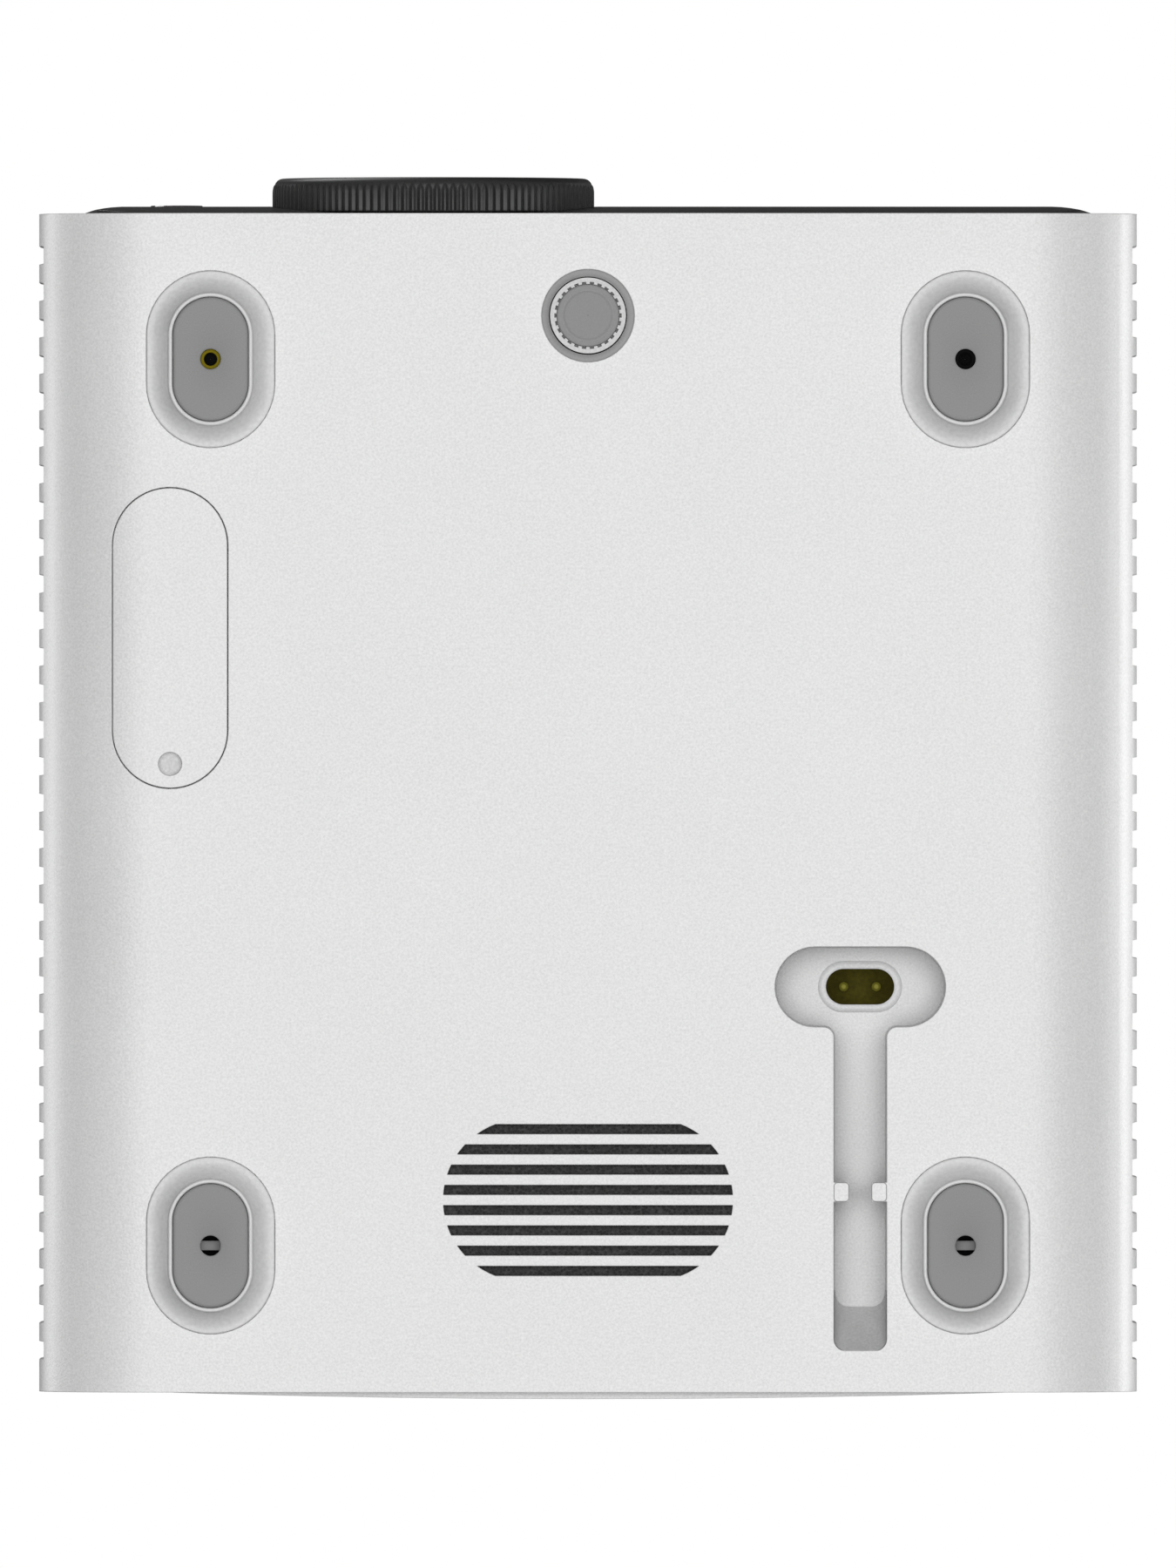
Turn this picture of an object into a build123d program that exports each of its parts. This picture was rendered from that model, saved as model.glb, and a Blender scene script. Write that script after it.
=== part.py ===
"""Home projector with a disc tray: every rigid piece as its own solid, in millimetres.

The frame: +Z is up, the front (lens and tray) faces -Y and +X is the right side seen from
the front. The origin is on the table, in the middle of the space that the projector fills.
"""

import os
from math import acos, cos, degrees, pi, radians, sin, tan

from build123d import *

os.makedirs("parts", exist_ok=True)

# ---------------------------------------------------------------- driving dimensions
# Case: a rounded sleeve, open at both ends, with a panel in each end
body_width = 290.0
body_depth = 311.0
body_height = 98.0
corner_radius = 30.0
wall = 2.5
foot_height = 6.0
seam_height = 49.0
front_rise = 2.2
rear_rise = 1.8
rear_inset = 0.75
end_rim_depth = 3.0
panel_width = 266.8
panel_margin = 5.0
panel_corner = 25.0
panel_edge_blend = 12.7
panel_plate = 3.0
panel_flange = 3.0

# Ribbed sides
groove_count = 31
groove_pitch = 9.64
groove_width = 4.9
groove_depth = 1.27
groove_flank_angle = 80.0
vent_first_groove = 8
vent_last_groove = 24
vent_width = 2.4
vent_length = 24.0

# Clearances
slide_gap = 0.3
running_gap = 0.08

# Focus ring, barrel and lens
lens_x = -40.9
lens_height = 41.5
ring_diameter = 85.1
ring_proud = 9.5
ring_gap = 0.4
ring_ridge_count = 124
ring_ridge_depth = 0.55
nose_step = 0.15
ring_edge = 2.3
ring_face_width = 5.2
ring_mouth_draft = 4.0
dish_gap = 1.0
dish_depth = 0.3
barrel_radius = 25.0
barrel_length = 46.0
barrel_inset = 6.0
mount_wall = 3.9
mount_length = 66.0
hub_wall = 2.9
hub_length = 11.0
front_lens_radius = 20.0
front_lens_thickness = 7.0
rear_lens_radius = 15.0

# Fixed feet, one near each corner of the underside
foot_side_setback = 45.5
foot_front_setback = 38.55
foot_rear_setback = 38.75
foot_width = 34.0
foot_length = 46.8
foot_rim_width = 23.0
foot_rim_height = 1.1
foot_sweep = 2.8
foot_sweep_height = 3.2
foot_plate = 6.0
pad_width = 19.8
pad_length = 32.4
pad_depth = 2.4
foot_hole = 5.4
insert_bore = 3.5
insert_length = 6.0
key_bar_width = 2.5
key_bar_depth = 4.0
foot_hole_roof = 1.0

# Screw foot at the front, for tilting the picture up
tilt_setback = 27.05
tilt_collar_diameter = 24.6
tilt_screw_diameter = 20.0
tilt_pad_diameter = 16.6
tilt_pad_centre = 12.65
tilt_notches = 26
tilt_recess = 1.2
tilt_collar_height = 26.0
tilt_screw_length = 27.0
tilt_clearance = 1.0

# Filter hatch in the underside
hatch_side_setback = 34.8
hatch_front_setback = 112.05
hatch_width = 30.1
hatch_length = 79.0
hatch_thickness = 4.0
hatch_gap = 0.3
hatch_ledge = 1.8
hatch_dimple = 6.2
hatch_dimple_depth = 0.8
hatch_dimple_offset = 33.2
filter_height = 10.0

# Cord channel and power inlet in the underside
inlet_side_setback = 73.2
inlet_rear_setback = 106.95
channel_head_width = 45.1
channel_head_length = 21.2
channel_width = 14.0
channel_end_setback = 10.95
channel_ramp_length = 11.5
channel_depth = 14.0
channel_wall = 2.0
channel_fillet = 2.7
channel_end_corner = 3.2
channel_nub_offset = 41.9
channel_nub_length = 5.1
channel_nub_reach = 4.05
channel_nub_height = 5.0
inlet_width = 18.05
inlet_height = 9.43
inlet_depth = 13.0
inlet_wall = 1.4
pin_diameter = 2.4
pin_spacing = 8.6
pin_length = 9.0

# Speaker and its slotted grille in the underside
speaker_setback = 50.75
grille_width = 76.4
grille_height = 42.8
slot_width = 2.62
slot_pitch = 5.34
slot_count = 8
mesh_thickness = 0.6
speaker_depth = 24.0
speaker_taper = 30
speaker_rim = 3.0
speaker_magnet_radius = 15.0

# Disc drive: a shallow pan, and a tray that carries the spindle and the pickup
drive_side_setback = 78.0
drive_height = 49.0
door_width = 125.0
door_height = 13.0
tray_width = 122.0
tray_depth = 126.0
tray_height = 9.0
disc_diameter = 120.0
disc_hole = 15.0
disc_recess_depth = 4.0
disc_margin = 0.4
pan_wall = 1.0
pan_height = 15.0
pan_post_width = 8.0
pan_post_spacing = 40.0
spindle_radius = 14.0
spindle_shaft_radius = 1.5
motor_height = 2.6
pickup_width = 34.0
pickup_length = 16.0
pickup_height = 3.2
pickup_lens_radius = 5.0
pickup_lens_proud = 0.7
pickup_window_width = 46.0
rod_diameter = 2.4
well_margin = 2.0
web_thickness = 0.8
turntable_plate = 0.8
turntable_hub_height = 2.2
turntable_bore_depth = 1.6

# Buttons on the top
keys_setback = 97.35
keys_x = 0.0
key_travel = 0.8
key_proud = 1.2
key_edge = 0.5
key_stem = 6.0
pad_ring_radius = 19.0
pad_ring_inner = 9.0
enter_radius = 8.2
round_key_radius = 6.5
key_spacing = 34.0

# Ventilation
fan_size = 60.0
fan_depth = 15.0
fan_hub_radius = 13.0
fan_blade_radius = 27.0
fan_blades = 7
fan_blade_thickness = 1.4
fan_blade_gap = 1.2
fan_blade_tilt = 35.0
fan_strut = 2.0
fan_strut_width = 3.0
fan_pin_radius = 2.0
exhaust_side_setback = 57.0
board_thickness = 1.6
board_post = 6.0

# ---------------------------------------------------------------- places worked out from them
total_depth = ring_proud + body_depth + rear_rise
front_y = ring_proud - total_depth / 2
rear_y = front_y + body_depth
floor_z = foot_height
top_z = floor_z + body_height
middle_z = floor_z + body_height / 2
seam_z = floor_z + seam_height
inside_floor_z = floor_z + wall
inside_top_z = top_z - wall
inside_half_width = body_width / 2 - groove_depth - wall
panel_height = body_height - 2 * panel_margin
panel_back_y = front_y + panel_plate
rear_panel_y = rear_y - panel_plate
lens_z = floor_z + lens_height
ring_radius = ring_diameter / 2
drive_z = floor_z + drive_height
foot_x = body_width / 2 - foot_side_setback
foot_places = [
    (side * foot_x, y)
    for y in (front_y + foot_front_setback, rear_y - foot_rear_setback)
    for side in (-1, 1)
]
tilt_y = front_y + tilt_setback
hatch_x = hatch_side_setback - body_width / 2
hatch_y = front_y + hatch_front_setback
hatch_dimple_y = hatch_y + hatch_dimple_offset
inlet_x = body_width / 2 - inlet_side_setback
inlet_y = rear_y - inlet_rear_setback
channel_end_y = rear_y - channel_end_setback
channel_floor_end_y = channel_end_y - channel_ramp_length
channel_nub_y = channel_end_y - channel_nub_offset
speaker_y = rear_y - speaker_setback
drive_x = body_width / 2 - drive_side_setback
keys_y = rear_y - keys_setback
exhaust_x = exhaust_side_setback - body_width / 2


def upright(y):
    """A sketch plane across the case at depth y: local x is X and local y is Z."""
    return Plane.XZ.offset(-y)


def level(z):
    """A sketch plane parallel to the table at height z."""
    return Plane.XY.offset(z)


def save(builder, name):
    """Label a finished piece and write it as its own STEP file."""
    builder.part.label = name
    export_step(builder.part, f"parts/{name}.step")


# ---------------------------------------------------------------- case
def sleeve_half(keep):
    """Upper or lower half of the rounded sleeve, with the ribbed sides and an end rim."""
    with BuildPart() as half:
        with BuildSketch(upright(front_y)):
            with Locations((0, middle_z)):
                RectangleRounded(body_width, body_height, corner_radius)
        extrude(amount=-body_depth)
        with BuildSketch(upright(front_y + end_rim_depth)):
            with Locations((0, middle_z)):
                RectangleRounded(
                    2 * inside_half_width,
                    body_height - 2 * wall,
                    corner_radius - wall,
                )
        extrude(amount=-(body_depth - 2 * end_rim_depth), mode=Mode.SUBTRACT)
        with BuildSketch(upright(front_y)):
            with Locations((0, middle_z)):
                RectangleRounded(panel_width, panel_height, panel_corner)
        extrude(amount=-body_depth, mode=Mode.SUBTRACT)
        with BuildSketch(level(floor_z)):
            for side in (-1, 1):
                with Locations((side * body_width / 2, front_y + body_depth / 2)):
                    with GridLocations(0, groove_pitch, 1, groove_count):
                        Trapezoid(
                            groove_width + 2 * groove_depth / tan(radians(groove_flank_angle)),
                            2 * groove_depth,
                            groove_flank_angle,
                            rotation=side * 90,
                        )
        extrude(amount=body_height, mode=Mode.SUBTRACT)
        split(bisect_by=Plane.XY.offset(seam_z), keep=keep)
    return half.part


def channel_outline(grow, end_y):
    """Outline of the T-shaped cord channel: a round-ended head across a straight stem."""
    with BuildSketch() as outline:
        with Locations((inlet_x, inlet_y)):
            SlotOverall(channel_head_width, channel_head_length)
        with Locations((inlet_x, (inlet_y + end_y) / 2)):
            Rectangle(channel_width, end_y - inlet_y)
        corners = outline.vertices().group_by(Axis.Y)[-1]
        fillet(corners, channel_end_corner)
        inner = outline.vertices().filter_by_position(
            Axis.Y,
            inlet_y + channel_head_length / 2 - 0.01,
            inlet_y + channel_head_length / 2 + 0.01,
        )
        fillet(inner.filter_by(lambda v: abs(v.X - inlet_x) < channel_width / 2 + 0.01), channel_fillet)
        if grow:
            offset(amount=grow)
    return outline.sketch


def channel_space(grow, depth):
    """The channel's hollow: straight down to its floor, with a ramp up at the stem's end."""
    with BuildPart() as space:
        with BuildSketch(level(floor_z)):
            add(channel_outline(grow, channel_end_y))
        extrude(amount=depth)
        with BuildSketch(Plane.YZ.offset(inlet_x)):
            with BuildLine():
                Polyline(
                    (channel_end_y + grow, floor_z),
                    (channel_end_y + grow, floor_z + depth + 1),
                    (channel_floor_end_y + grow, floor_z + depth + 1),
                    (channel_floor_end_y + grow, floor_z + depth),
                    close=True,
                )
            make_face()
        extrude(amount=channel_width, both=True, mode=Mode.SUBTRACT)
    return space.part


channel_shell = channel_space(channel_wall, channel_depth + channel_wall)
channel_hollow = channel_space(0, channel_depth)
lower_half = sleeve_half(Keep.BOTTOM)
upper_half = sleeve_half(Keep.TOP)

filter_well_height = hatch_thickness + filter_height
groove_places = [
    (i - (groove_count - 1) / 2) * groove_pitch + front_y + body_depth / 2
    for i in range(vent_first_groove, vent_last_groove, 2)
]

# Block round the filter, cut to the rounded side of the case
with BuildPart() as filter_well:
    with BuildSketch(level(floor_z)):
        with Locations((hatch_x, hatch_y)):
            Rectangle(hatch_width + 2 * wall, hatch_length + 2 * wall)
    extrude(amount=filter_well_height)
    with BuildSketch(upright(front_y)):
        with Locations((0, middle_z)):
            RectangleRounded(body_width - wall, body_height - wall, corner_radius - wall / 2)
    extrude(amount=-body_depth, mode=Mode.INTERSECT)

# The lower shell carries the feet, the drive's posts, the filter well and the cord channel.
with BuildPart() as bottom_shell:
    add(lower_half)
    # Well round the filter, with a ledge that the hatch closes against
    add(filter_well.part)
    with BuildSketch(level(floor_z)):
        with Locations((hatch_x, hatch_y)):
            SlotOverall(hatch_length + 2 * hatch_gap, hatch_width + 2 * hatch_gap, rotation=90)
    extrude(amount=hatch_thickness, mode=Mode.SUBTRACT)
    with BuildSketch(level(floor_z)):
        with Locations((hatch_x, hatch_y)):
            SlotOverall(hatch_length - 2 * hatch_ledge, hatch_width - 2 * hatch_ledge, rotation=90)
    extrude(amount=filter_well_height, mode=Mode.SUBTRACT)
    # Posts for the feet
    with BuildSketch(level(floor_z + wall / 2)):
        with Locations(*foot_places):
            Rectangle(foot_width + 2 * wall, foot_length + 2 * wall)
    extrude(amount=foot_plate + wall / 2)
    with BuildSketch(level(floor_z)):
        with Locations(*foot_places):
            SlotOverall(foot_length, foot_width, rotation=90)
    extrude(amount=foot_plate, mode=Mode.SUBTRACT)
    # Boss for the screw foot's collar
    with BuildSketch(level(floor_z)):
        with Locations((0, tilt_y)):
            Circle(tilt_collar_diameter / 2 + wall)
    extrude(amount=2 * wall)
    with BuildSketch(level(floor_z)):
        with Locations((0, tilt_y)):
            Circle(tilt_collar_diameter / 2)
    extrude(amount=2 * wall, mode=Mode.SUBTRACT)
    # Slots in front of the speaker, clipped to a round-ended field
    with BuildSketch(level(floor_z)):
        with Locations((0, speaker_y)):
            with GridLocations(0, slot_pitch, 1, slot_count):
                Rectangle(grille_width, slot_width)
            SlotOverall(grille_width, grille_height, mode=Mode.INTERSECT)
    extrude(amount=wall, mode=Mode.SUBTRACT)
    # Cord channel, with two lugs that pinch the cord
    add(channel_shell)
    add(channel_hollow, mode=Mode.SUBTRACT)
    with BuildSketch(level(floor_z)):
        for side in (-1, 1):
            with Locations((inlet_x + side * (channel_width - channel_nub_reach) / 2, channel_nub_y)):
                Rectangle(channel_nub_reach, channel_nub_length)
    extrude(amount=channel_nub_height)
    # Opening for the power inlet in the channel's floor
    with BuildSketch(level(floor_z + channel_depth)):
        with Locations((inlet_x, inlet_y)):
            SlotOverall(inlet_width + 2 * inlet_wall, inlet_height + 2 * inlet_wall)
    extrude(amount=channel_wall, mode=Mode.SUBTRACT)
    # Posts under the disc drive
    with BuildSketch(level(inside_floor_z)):
        with Locations((drive_x, panel_back_y + tray_depth / 2)):
            with GridLocations(tray_width - 2 * pan_post_width, pan_post_spacing, 2, 2):
                Rectangle(pan_post_width, pan_post_width)
    extrude(amount=drive_z - pan_height / 2 - inside_floor_z)
    # Vents through the floors of the middle grooves
    with BuildSketch(Plane.YZ.offset(-body_width / 2)):
        with Locations(*[(y, middle_z - vent_length / 2) for y in groove_places]):
            Rectangle(vent_width, vent_length)
    extrude(amount=body_width, mode=Mode.SUBTRACT)
save(bottom_shell, "bottom_shell")

key_places = {
    "power_key": (keys_x - 2 * key_spacing, keys_y),
    "eject_key": (keys_x - key_spacing, keys_y),
    "play_key": (keys_x + key_spacing, keys_y),
    "stop_key": (keys_x + 2 * key_spacing, keys_y),
}

# The top cover closes the sleeve and holds the keys.
with BuildPart() as top_cover:
    add(upper_half)
    with BuildSketch(level(top_z)):
        with Locations(*key_places.values()):
            Circle(round_key_radius + slide_gap)
        with Locations((keys_x, keys_y)):
            Circle(pad_ring_radius + slide_gap)
    extrude(amount=-wall, mode=Mode.SUBTRACT)
    with BuildSketch(Plane.YZ.offset(-body_width / 2)):
        with Locations(*[(y, middle_z + vent_length / 2) for y in groove_places]):
            Rectangle(vent_width, vent_length)
    extrude(amount=body_width, mode=Mode.SUBTRACT)
save(top_cover, "top_cover")

# Plate under the keys, which they bear on through their rubber domes
key_plate_z = inside_top_z - key_stem
with BuildPart() as key_board:
    with BuildSketch(level(key_plate_z - board_thickness)):
        with Locations((keys_x, keys_y)):
            Rectangle(5 * key_spacing, 2 * pad_ring_radius + 8)
    extrude(amount=board_thickness)
    with BuildSketch(level(key_plate_z)):
        with Locations((keys_x, keys_y)):
            with GridLocations(5 * key_spacing - 8, 2 * pad_ring_radius, 2, 2):
                Rectangle(board_post, board_post)
    extrude(amount=inside_top_z - key_plate_z)
save(key_board, "key_board")

for name, place in key_places.items():
    with BuildPart() as key:
        with BuildSketch(level(key_plate_z + key_travel + slide_gap)):
            with Locations(place):
                Circle(round_key_radius / 2)
        extrude(until=None, amount=inside_top_z - key_plate_z - key_travel - slide_gap)
        with BuildSketch(level(inside_top_z)):
            with Locations(place):
                Circle(round_key_radius)
        extrude(amount=wall + key_proud)
        chamfer(key.edges().group_by(Axis.Z)[-1], key_edge)
    save(key, name)

# Four-way ring with the enter key in its middle
with BuildPart() as arrow_ring:
    with BuildSketch(level(key_plate_z + key_travel + slide_gap)):
        with Locations((keys_x, keys_y)):
            Circle(pad_ring_radius - 3)
            Circle(pad_ring_inner + 2, mode=Mode.SUBTRACT)
    extrude(amount=inside_top_z - key_plate_z - key_travel - slide_gap)
    with BuildSketch(level(inside_top_z)):
        with Locations((keys_x, keys_y)):
            Circle(pad_ring_radius)
            Circle(pad_ring_inner, mode=Mode.SUBTRACT)
    extrude(amount=wall + key_proud)
save(arrow_ring, "arrow_ring")

with BuildPart() as enter_key:
    with BuildSketch(level(key_plate_z + key_travel + slide_gap)):
        with Locations((keys_x, keys_y)):
            Circle(enter_radius)
    extrude(amount=inside_top_z + wall + key_proud - key_plate_z - key_travel - slide_gap)
    chamfer(enter_key.edges().group_by(Axis.Z)[-1], key_edge)
save(enter_key, "enter_key")


# ---------------------------------------------------------------- front
def front_blank():
    """Front panel without openings: bowed from top to bottom, with its two ends eased back."""
    ease = (panel_edge_blend**2 + front_rise**2) / (2 * front_rise)
    half = panel_width / 2
    crest = front_y - front_rise
    with BuildPart() as blank:
        with BuildSketch(upright(panel_back_y)):
            with Locations((0, middle_z)):
                RectangleRounded(panel_width, panel_height, panel_corner)
        extrude(amount=panel_plate + front_rise)
        with BuildSketch(Plane.YZ.offset(-half)):
            with BuildLine():
                curve = ThreePointArc(
                    (front_y, middle_z + panel_height / 2),
                    (crest, middle_z),
                    (front_y, middle_z - panel_height / 2),
                )
                Polyline(
                    curve @ 1,
                    (panel_back_y, middle_z - panel_height / 2),
                    (panel_back_y, middle_z + panel_height / 2),
                    curve @ 0,
                )
            make_face()
        extrude(amount=panel_width, mode=Mode.INTERSECT)
        with BuildSketch(level(floor_z)):
            with BuildLine():
                left = CenterArc((-half + panel_edge_blend, crest + ease), ease, 270, -degrees(
                    acos(1 - front_rise / ease)
                ))
                right = CenterArc((half - panel_edge_blend, crest + ease), ease, 270, degrees(
                    acos(1 - front_rise / ease)
                ))
                Line(left @ 0, right @ 0)
                Polyline(left @ 1, (-half, panel_back_y), (half, panel_back_y), right @ 1)
            make_face()
        extrude(amount=body_height, mode=Mode.INTERSECT)
    return blank.part


def door_outline(grow):
    """Outline of the disc door across the front, grown by a clearance."""
    with BuildSketch(upright(front_y - ring_proud)) as outline:
        with Locations((drive_x, drive_z)):
            RectangleRounded(door_width + 2 * grow, door_height + 2 * grow, 1.2 + grow)
    return outline.sketch


front_shape = front_blank()
hub_inner = barrel_radius + running_gap + mount_wall + running_gap
hub_radius = hub_inner + hub_wall
window_left = -115.9
window_right = -101.9
window_height = 16.0
window_z = 66.0
window_proud = 0.35
window_depth = 2.0

with BuildPart() as front_bezel:
    add(front_shape)
    # Flange behind the rim of the sleeve
    with BuildSketch(upright(panel_back_y)):
        with Locations((0, middle_z)):
            RectangleRounded(
                panel_width + 2 * panel_flange,
                panel_height + panel_margin,
                panel_corner + panel_flange / 2,
            )
            RectangleRounded(panel_width - 2 * wall, panel_height - 2 * wall, panel_corner, mode=Mode.SUBTRACT)
    extrude(amount=-panel_flange)
    # Seat and bore behind the focus ring
    with BuildSketch(upright(front_y + dish_depth)):
        with Locations((lens_x, lens_z)):
            Circle(ring_radius + dish_gap)
    extrude(amount=ring_proud, mode=Mode.SUBTRACT)
    with BuildSketch(upright(front_y - ring_proud)):
        with Locations((lens_x, lens_z)):
            Circle(hub_radius + slide_gap)
    extrude(amount=-2 * ring_proud, mode=Mode.SUBTRACT)
    # Opening for the disc door
    add(extrude(door_outline(slide_gap), amount=-2 * ring_proud, mode=Mode.PRIVATE), mode=Mode.SUBTRACT)
    # Pocket for the remote control's window
    with BuildSketch(upright(front_y - front_rise + window_depth)):
        with Locations(((window_left + window_right) / 2, window_z)):
            SlotOverall(window_height, window_right - window_left, rotation=90)
    extrude(amount=2 * window_depth, mode=Mode.SUBTRACT)
save(front_bezel, "front_bezel")

with BuildPart() as remote_window:
    with BuildSketch(upright(front_y - front_rise + window_depth)):
        with Locations(((window_left + window_right) / 2, window_z)):
            SlotOverall(window_height, window_right - window_left, rotation=90)
    extrude(amount=window_depth + window_proud)
    chamfer(remote_window.edges().group_by(Axis.Y)[0], window_proud * 0.8)
save(remote_window, "remote_window")

# ---------------------------------------------------------------- lens
ring_back_y = front_y - ring_gap
ring_front_y = front_y - ring_proud
mount_radius = barrel_radius + running_gap + mount_wall
ring_mouth = ring_radius - ring_face_width

# Focus ring: a rounded front edge, fine ridges behind it, and a hub that turns on the mount
nose_radius = ring_radius - ring_ridge_depth - nose_step
ridge_front_y = ring_front_y + ring_edge
nose_turns = [radians(turn) for turn in (30, 60, 90)]


def ridge_corner(i):
    """Point i round the ring: even points are the ridges' crests, odd ones the roots between them."""
    reach = ring_radius - (i % 2) * ring_ridge_depth
    turn = pi * i / ring_ridge_count
    return lens_x + reach * cos(turn), lens_z + reach * sin(turn)


with BuildPart() as focus_ring:
    with BuildSketch(Plane.YZ.offset(lens_x)):
        with BuildLine():
            Polyline(
                (ridge_front_y, lens_z + nose_radius),
                *[
                    (
                        ridge_front_y - ring_edge * sin(turn),
                        lens_z + nose_radius - ring_edge * (1 - cos(turn)),
                    )
                    for turn in nose_turns
                ],
                (ring_front_y, lens_z + ring_mouth),
                (ring_back_y - wall, lens_z + ring_mouth - ring_mouth_draft),
                (ring_back_y - wall, lens_z + hub_inner),
                (ring_back_y + hub_length, lens_z + hub_inner),
                (ring_back_y + hub_length, lens_z + hub_radius),
                (ring_back_y, lens_z + hub_radius),
                (ring_back_y, lens_z + ring_mouth),
                (ridge_front_y, lens_z + ring_mouth),
                close=True,
            )
        make_face()
    revolve(axis=Axis((lens_x, 0, lens_z), (0, 1, 0)))
    with BuildSketch(upright(ridge_front_y)):
        with BuildLine():
            Polyline(*[ridge_corner(i) for i in range(2 * ring_ridge_count)], close=True)
        make_face()
        with Locations((lens_x, lens_z)):
            Circle(ring_mouth, mode=Mode.SUBTRACT)
    extrude(amount=-(ring_back_y - ridge_front_y))
save(focus_ring, "focus_ring")

mount_front_y = ring_back_y - 1.0
barrel_front_y = ring_front_y + barrel_inset

# Fixed lens mount: a tube that the ring turns on and the barrel slides in
with BuildPart() as lens_mount:
    with BuildSketch(upright(mount_front_y)):
        with Locations((lens_x, lens_z)):
            Circle(mount_radius)
    extrude(amount=-mount_length)
    with BuildSketch(upright(ring_back_y + hub_length + slide_gap)):
        with Locations((lens_x, lens_z)):
            Circle(hub_radius + 1)
    extrude(amount=-wall)
    with BuildSketch(upright(mount_front_y + mount_length)):
        with Locations((lens_x, lens_z)):
            Rectangle(2 * hub_radius + 6, 2 * hub_radius)
    extrude(amount=wall)
    with BuildSketch(upright(mount_front_y)):
        with Locations((lens_x, lens_z)):
            Circle(barrel_radius + running_gap)
    extrude(amount=-mount_length, mode=Mode.SUBTRACT)
save(lens_mount, "lens_mount")

# Barrel that slides in the mount as the ring turns, open at both ends round its lenses
with BuildPart() as lens_barrel:
    with BuildSketch(upright(barrel_front_y)):
        with Locations((lens_x, lens_z)):
            Circle(barrel_radius)
    extrude(amount=-barrel_length)
    with BuildSketch(upright(barrel_front_y)):
        with Locations((lens_x, lens_z)):
            Circle(front_lens_radius)
    extrude(amount=-(front_lens_thickness + 3), mode=Mode.SUBTRACT)
    with BuildSketch(upright(barrel_front_y)):
        with Locations((lens_x, lens_z)):
            Circle(rear_lens_radius)
    extrude(amount=-barrel_length, mode=Mode.SUBTRACT)
    chamfer(
        lens_barrel.faces().sort_by(Axis.Y)[0].inner_wires()[0].edges(),
        1.5,
    )
save(lens_barrel, "lens_barrel")


def lens_element(name, place_y, radius, thickness, front_crown, back_crown):
    """A round lens on the lens axis, its crowned front and back each drawn as two steps of slope."""
    with BuildPart() as element:
        with BuildSketch(Plane.YZ.offset(lens_x)):
            with BuildLine():
                Polyline(
                    (place_y, lens_z),
                    (place_y + front_crown / 4, lens_z + radius / 2),
                    (place_y + front_crown, lens_z + radius),
                    (place_y + thickness - back_crown, lens_z + radius),
                    (place_y + thickness - back_crown / 4, lens_z + radius / 2),
                    (place_y + thickness, lens_z),
                    close=True,
                )
            make_face()
        revolve(axis=Axis((lens_x, 0, lens_z), (0, 1, 0)))
    save(element, name)


front_lens_y = barrel_front_y + 3
lens_element("front_lens", front_lens_y, front_lens_radius, front_lens_thickness, 3.0, 0.5)
lens_element(
    "rear_lens", barrel_front_y + barrel_length - front_lens_thickness, rear_lens_radius, 6.0, 1.5, 1.5
)

# Light engine: the cast box behind the lens that holds the lamp, the panel and the mirrors
engine_front_y = mount_front_y + mount_length
engine_length = 92.0
engine_width = 84.0
engine_height = 62.0
engine_rib = 3.0
engine_legs = 5.0
light_path_width = 26.0
light_path_height = 18.0
light_path_depth = 12.0
with BuildPart() as light_engine:
    with BuildSketch(upright(engine_front_y)):
        with Locations((lens_x, lens_z)):
            Rectangle(engine_width, engine_height)
    extrude(amount=-engine_length)
    with BuildSketch(level(lens_z + engine_height / 2)):
        with Locations((lens_x, engine_front_y + engine_length / 2)):
            with GridLocations(engine_width / 5, 0, 4, 1):
                Rectangle(engine_rib, engine_length - 12)
    extrude(amount=3)
    with BuildSketch(level(inside_floor_z)):
        with Locations((lens_x, engine_front_y + engine_length / 2)):
            with GridLocations(engine_width - 3 * engine_legs, engine_length - 3 * engine_legs, 2, 2):
                Circle(engine_legs)
    extrude(amount=lens_z - engine_height / 2 - inside_floor_z)
    with BuildSketch(upright(engine_front_y)):
        with Locations((lens_x, lens_z)):
            Rectangle(light_path_width, light_path_height)
    extrude(amount=-light_path_depth, mode=Mode.SUBTRACT)
save(light_engine, "light_engine")

# Lamp module with its finned heat sink, on the rear of the light engine
sink_y = engine_front_y + engine_length
sink_depth = 44.0
sink_width = 60.0
sink_height = 54.0
sink_base = 5.0
fin_count = 11
fin_thickness = 1.6
with BuildPart() as lamp_module:
    with BuildSketch(upright(sink_y)):
        with Locations((lens_x, lens_z)):
            Rectangle(sink_width, sink_height)
    extrude(amount=-sink_base)
    with BuildSketch(upright(sink_y + sink_base)):
        with Locations((lens_x, lens_z)):
            with GridLocations((sink_width - fin_thickness) / (fin_count - 1), 0, fin_count, 1):
                Rectangle(fin_thickness, sink_height)
    extrude(amount=-(sink_depth - sink_base))
save(lamp_module, "lamp_module")

# ---------------------------------------------------------------- feet
foot_reach = foot_width / 2
rim_reach = foot_rim_width / 2
foot_half_straight = (foot_length - foot_width) / 2
pad_top = foot_rim_height + pad_depth


def foot_profile(reach):
    """Half section of a foot from its middle outwards: a skirt that slopes down to a rim."""
    with BuildSketch(Plane.XZ) as section:
        with BuildLine():
            Polyline(
                (reach, foot_height),
                (rim_reach + foot_sweep, foot_sweep_height),
                (rim_reach, foot_rim_height),
                (0, foot_rim_height),
                (0, foot_height + foot_plate),
                (reach, foot_height + foot_plate),
                close=True,
            )
        make_face()
    return section.sketch


key_bar_top = foot_height + foot_plate - foot_hole_roof
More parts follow.
